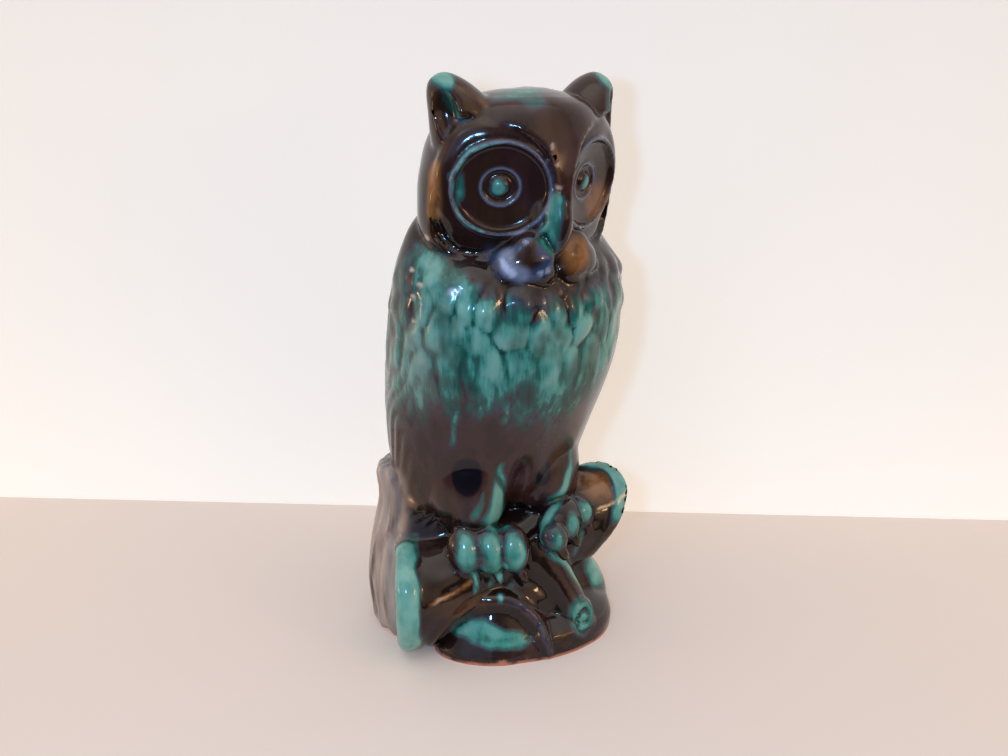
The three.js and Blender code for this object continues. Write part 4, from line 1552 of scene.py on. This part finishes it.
    def material(self) -> bpy.types.Material:
        """Makes the material."""
        material = bpy.data.materials.new("drip_glaze")
        material.use_nodes = True
        nodes = Nodes(material.node_tree)
        times, plus, step, around, mix = nodes.times, nodes.plus, nodes.step, nodes.around, nodes.mix
        shader = material.node_tree.nodes["Principled BSDF"]
        teal, flow, crest, in_plum, amber_and_warm_reflection, blue_reflection, painted_highlight, dark_reflection, pale_reflection, bare = (
            nodes.stored(layer) for layer in Layer)
        streaks = nodes.noise((0.0024, 0.0024, 0.018), 4.0)
        veils = nodes.noise((0.0062, 0.0062, 0.036), 3.0, 5.2)
        mottle = nodes.noise((0.005, 0.005, 0.0075), 3.0, 3.1)
        broad = nodes.noise((0.014, 0.014, 0.022), 2.0, 1.3)
        soft = nodes.noise((0.0085, 0.0085, 0.011), 1.0, 8.8)
        spots = nodes.noise((0.0040, 0.0040, 0.0052), 1.0, 12.1)
        # Thickness of the teal, broken up into streaks where it has run
        ragged = times(flow, plus(around(veils, 1.8), around(streaks, 1.25)))
        edge = times(step(teal, 0.0, 0.55), nodes.maths("SUBTRACT", 1.35, times(teal, 0.55)))
        uneven = times(plus(around(mottle, 0.9), around(soft, 0.8), times(crest, 0.40)), teal)
        thick = nodes.maths("SUBTRACT", plus(teal, times(ragged, edge), uneven), times(teal, 0.16, flow))
        ramp = nodes.add("ShaderNodeValToRGB")
        stops = ((0.12, self.haze), (0.30, self.slate), (0.45, self.green), (0.64, self.teal), (1.0, self.pale))
        for _ in stops[2:]:
            ramp.color_ramp.elements.new(0.5)
        for element, (at, tone) in zip(ramp.color_ramp.elements, stops):
            element.position, element.color = at, (*tone, 1.0)
        nodes.feed(ramp.inputs["Fac"], times(thick, 0.80))
        sunk = times(step(crest, -0.1, -1.0), 0.85)
        shady = times(step(broad, 0.46, 0.66), flow, 0.7)
        glaze = mix(nodes.maths("MAXIMUM", sunk, shady), ramp.outputs["Color"], self.deep)
        # The brown glaze below it
        tinge = mix(step(broad, 0.38, 0.62), self.umber, self.plum)
        patchy = times(in_plum, plus(0.5, times(step(veils, 0.3, 0.7), 0.7)))
        brown = mix(nodes.maths("MAXIMUM", patchy, times(step(broad, 0.5, 0.75), 0.4)), self.dark, tinge)
        thin = plus(times(crest, 0.8), around(mottle, 1.2))
        brown = mix(times(step(thin, 0.35, 1.3), 0.6), brown, self.warm)
        # Thin amber glaze, and painted warm reflections and highlights
        brown = mix(times(amber_and_warm_reflection, step(mottle, 0.1, 0.6)), brown, self.amber_and_warm_reflection)
        # The teal lies over it, and all else over both, painted reflections and highlights among them
        colour = mix(step(thick, -0.02, 0.34), brown, glaze)
        low = times(step(teal, 0.03, 0.16), step(teal, 0.6, 0.3))
        for share, tone in (
            (times(step(spots, 0.60, 0.70), low, times(flow, 0.6)), self.rust),
            # Painted blue reflection, kept off thick teal
            (times(blue_reflection, step(teal, 0.9, 0.2)), self.blue_reflection),
            # Painted highlights, turned golden where the painted glints are
            (painted_highlight, mix(step(amber_and_warm_reflection, 0.1, 0.5), self.painted_highlight, self.gold_glint)),
            # Painted dark reflections
            (step(dark_reflection, 0.15, 0.5), self.dark_reflection),
            # Painted pale reflection, broken into streaks
            (times(pale_reflection, step(veils, 0.15, 0.6)), self.pale_reflection),
            (bare, self.clay),
        ):
            colour = mix(share, colour, tone)
        nodes.feed(shader.inputs["Base Color"], colour)
        brown_rough, teal_rough = self.gloss
        rough = plus(brown_rough, times(step(thick, 0.1, 0.9), teal_rough - brown_rough), times(in_plum, self.matt[0]))
        nodes.feed(shader.inputs["Roughness"], nodes.maths("MAXIMUM", rough, times(bare, self.matt[1])))
        shader.inputs["IOR"].default_value = 1.5
        shader.inputs["Specular IOR Level"].default_value = 0.42
        # Slight unevenness of the glaze surface
        bump = nodes.add("ShaderNodeBump")
        bump.inputs["Strength"].default_value, bump.inputs["Distance"].default_value = 0.35, 0.0003
        nodes.feed(bump.inputs["Height"], plus(times(mottle, 0.5), times(soft, 0.9), times(thick, 0.4)))
        nodes.feed(shader.inputs["Normal"], bump.outputs["Normal"])
        return material


# The studio

@dataclass(frozen=True)
class Plain:
    """A plain matt surface.

    Attributes:
        name: Its name.
        colour: Its colour.
        glow: Strength of its own light.
        open_behind: Whether a look from behind goes through it.
    """

    name: str
    colour: Triple
    glow: float = 0.0
    open_behind: bool = False

    def material(self) -> bpy.types.Material:
        """Makes the material, which is open to a look from behind where that is asked for."""
        material = bpy.data.materials.new(self.name)
        material.use_nodes = True
        shader = material.node_tree.nodes["Principled BSDF"]
        shader.inputs["Base Color"].default_value = (*self.colour, 1)
        shader.inputs["Roughness"].default_value = 0.9
        shader.inputs["Emission Color"].default_value = (*self.colour, 1)
        shader.inputs["Emission Strength"].default_value = self.glow
        if self.open_behind:
            nodes = Nodes(material.node_tree)
            both = nodes.add("ShaderNodeMixShader")
            nodes.feed(both.inputs[0], nodes.add("ShaderNodeNewGeometry").outputs["Backfacing"])
            nodes.feed(both.inputs[1], shader.outputs[0])
            nodes.feed(both.inputs[2], nodes.add("ShaderNodeBsdfTransparent").outputs[0])
            nodes.feed(material.node_tree.nodes["Material Output"].inputs["Surface"], both.outputs[0])
        return material


@dataclass(frozen=True)
class Lamp:
    """A square lamp that looks at the piece.

    Attributes:
        name: Its name.
        spot: Where it stands.
        size: Length of its side.
        power: Its power in watts.
        colour: Its colour.
    """

    name: str
    spot: Triple
    size: float
    power: float
    colour: Triple

    def build(self) -> None:
        """Adds the lamp."""
        lamp = bpy.data.lights.new(self.name, "AREA")
        lamp.energy, lamp.size, lamp.color = self.power, self.size, self.colour
        item = bpy.data.objects.new(self.name, lamp)
        item.location = self.spot
        item.rotation_euler = (Vector((0, 0, 0.12)) - Vector(self.spot)).to_track_quat("-Z", "Y").to_euler()
        bpy.context.collection.objects.link(item)
        LOG.info("lamp %s", self.name)


@dataclass(frozen=True)
class Glow:
    """A soft bright part of the room.

    Attributes:
        azimuth: Its turn to the right of the camera, as the camera sees it, in degrees.
        elevation: Its rise above the horizon, in degrees.
        spread: How far it reaches, in degrees.
        colour: Its light.
    """

    azimuth: float
    elevation: float
    spread: float
    colour: Triple


def toward(azimuth: float, elevation: float) -> Vector:
    """A direction from the piece: its turn to the right of the camera, as the camera sees it, and its rise."""
    turn, rise = math.radians(azimuth), math.radians(elevation)
    ahead, right = Vector((-VIEW_SIN, -VIEW_COS, 0)), Vector((VIEW_COS, -VIEW_SIN, 0))
    return (ahead * math.cos(turn) + right * math.sin(turn)) * math.cos(rise) + Vector((0, 0, math.sin(rise)))


@dataclass
class Studio:
    """Floor, wall, lights and camera.

    Attributes:
        floor: The table's surface.
        wall: The wall behind it.
        table_edge: How far the table reaches toward the camera from the middle of the piece.
        wall_away: How far the wall stands behind the middle of the piece.
        wall_turn: Its turn, in degrees.
        lamps: The lamps.
        glows: The bright parts of the room.
        above: Light of the room from above.
        around: Its light from all round.
        ahead: Its light from where the camera is.
        below: Its light from below the horizon.
        spot: Where the camera stands.
        pitch: How far it looks down, in degrees.
        lens: Its focal length in millimetres.
    """

    floor: Plain = Plain("floor_cloth", (0.62, 0.545, 0.50), 0.16)
    wall: Plain = Plain("wall_paint", (0.86, 0.85, 0.80), 0.34, open_behind=True)
    table_edge: float = 0.19
    wall_away: float = 0.1207
    wall_turn: float = 35.2
    lamps: tuple[Lamp, ...] = (
        Lamp("flash", (-0.268, -0.349, 0.262), 0.022, 0.66, (0.24, 0.58, 1.0)),
        Lamp("warm_left", tuple(toward(-74, 10) * 0.8), 0.07, 0.32, (1.0, 0.66, 0.34)),
        Lamp("warm_right", tuple(toward(50, 22) * 0.8), 0.06, 0.28, (1.0, 0.66, 0.34)),
    )
    glows: tuple[Glow, ...] = (
        Glow(-26, 20, 34, (0.30, 0.42, 0.70)), Glow(-33, 34, 6, (1.6, 2.2, 3.2)),
        Glow(-80, 4, 34, (0.90, 0.50, 0.24)), Glow(-84, 2, 13, (2.2, 1.3, 0.65)),
        Glow(54, 18, 34, (0.80, 0.45, 0.22)), Glow(58, 14, 11, (2.4, 1.4, 0.7)),
    )
    above: Triple = (1.7, 1.58, 1.46)
    around: Triple = (0.36, 0.30, 0.27)
    ahead: Triple = (0.20, 0.16, 0.17)
    below: Triple = (0.045, 0.030, 0.028)
    spot: Triple = (-0.2274, -0.3744, 0.250)
    pitch: float = 16.8
    lens: float = 36.29

    def build(self) -> None:
        """Sets the stage."""
        for name, finish, size, away, turn in (
            ("floor", self.floor, 3.0, 1.5 - self.table_edge, (0, 0, math.radians(-VIEW_TURN))),
            ("wall", self.wall, 6.0, self.wall_away, (math.radians(90), 0, math.radians(-self.wall_turn))),
        ):
            Bench.clear()
            where = (VIEW_SIN * away, VIEW_COS * away, 0)
            bpy.ops.mesh.primitive_plane_add(size=size, location=where, rotation=turn)
            sheet = bpy.context.object
            sheet.name = name
            sheet.data.materials.append(finish.material())
            bpy.ops.object.transform_apply(location=True, rotation=True, scale=True)
        self.room()
        for lamp in self.lamps:
            lamp.build()
        self.camera()
        bpy.context.scene.view_settings.view_transform = "Standard"

    def room(self) -> None:
        """The light of the room: pale above, brownish all round, darker at the camera, dark below, with glows."""
        world = bpy.data.worlds.new("room")
        world.use_nodes = True
        nodes = Nodes(world.node_tree)
        way = nodes.add("ShaderNodeTexCoord").outputs["Generated"]
        height = nodes.add("ShaderNodeSeparateXYZ")
        nodes.feed(height.inputs[0], way)
        room = nodes.mix(nodes.step(height.outputs[2], 0.4, 1.0), self.around, self.above)
        near = self.closeness(nodes, way, toward(0, 8))
        room = nodes.mix(nodes.step(near, 0.80, 0.94), room, self.ahead)
        for glow in self.glows:
            near = self.closeness(nodes, way, toward(glow.azimuth, glow.elevation))
            lit = nodes.mix(nodes.step(near, math.cos(math.radians(glow.spread)), 1.0), (0.0, 0.0, 0.0), glow.colour)
            both = nodes.add("ShaderNodeVectorMath", operation="ADD")
            nodes.feed(both.inputs[0], room)
            nodes.feed(both.inputs[1], lit)
            room = both.outputs["Vector"]
        room = nodes.mix(nodes.step(height.outputs[2], 0.02, -0.06), room, self.below)
        back = world.node_tree.nodes["Background"]
        nodes.feed(back.inputs["Color"], room)
        bpy.context.scene.world = world

    @staticmethod
    def closeness(nodes: Nodes, way: Socket, aim: Vector) -> Socket:
        """How close a direction is to another one: 1 along it, 0 across it."""
        near = nodes.add("ShaderNodeVectorMath", operation="DOT_PRODUCT")
        nodes.feed(near.inputs[0], way)
        near.inputs[1].default_value = aim
        return near.outputs["Value"]

    def camera(self) -> None:
        """The photograph's viewing angle."""
        data = bpy.data.cameras.new("camera")
        data.sensor_width, data.lens = 36.0, self.lens
        data.clip_start = 0.01
        item = bpy.data.objects.new("camera", data)
        item.location = self.spot
        item.rotation_euler = (math.radians(90 - self.pitch), 0, math.radians(-VIEW_TURN))
        bpy.context.collection.objects.link(item)
        bpy.context.scene.camera = item


def main() -> None:
    """Builds the piece and the studio."""
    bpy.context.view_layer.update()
    casting = Casting()
    owl = casting.build()
    glaze = DripGlaze()
    glaze.paint(owl, casting)
    owl.data.materials.append(glaze.material())
    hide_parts(NODE)
    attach(owl, BODY)
    Studio().build()


if __name__ == "__main__":
    main()
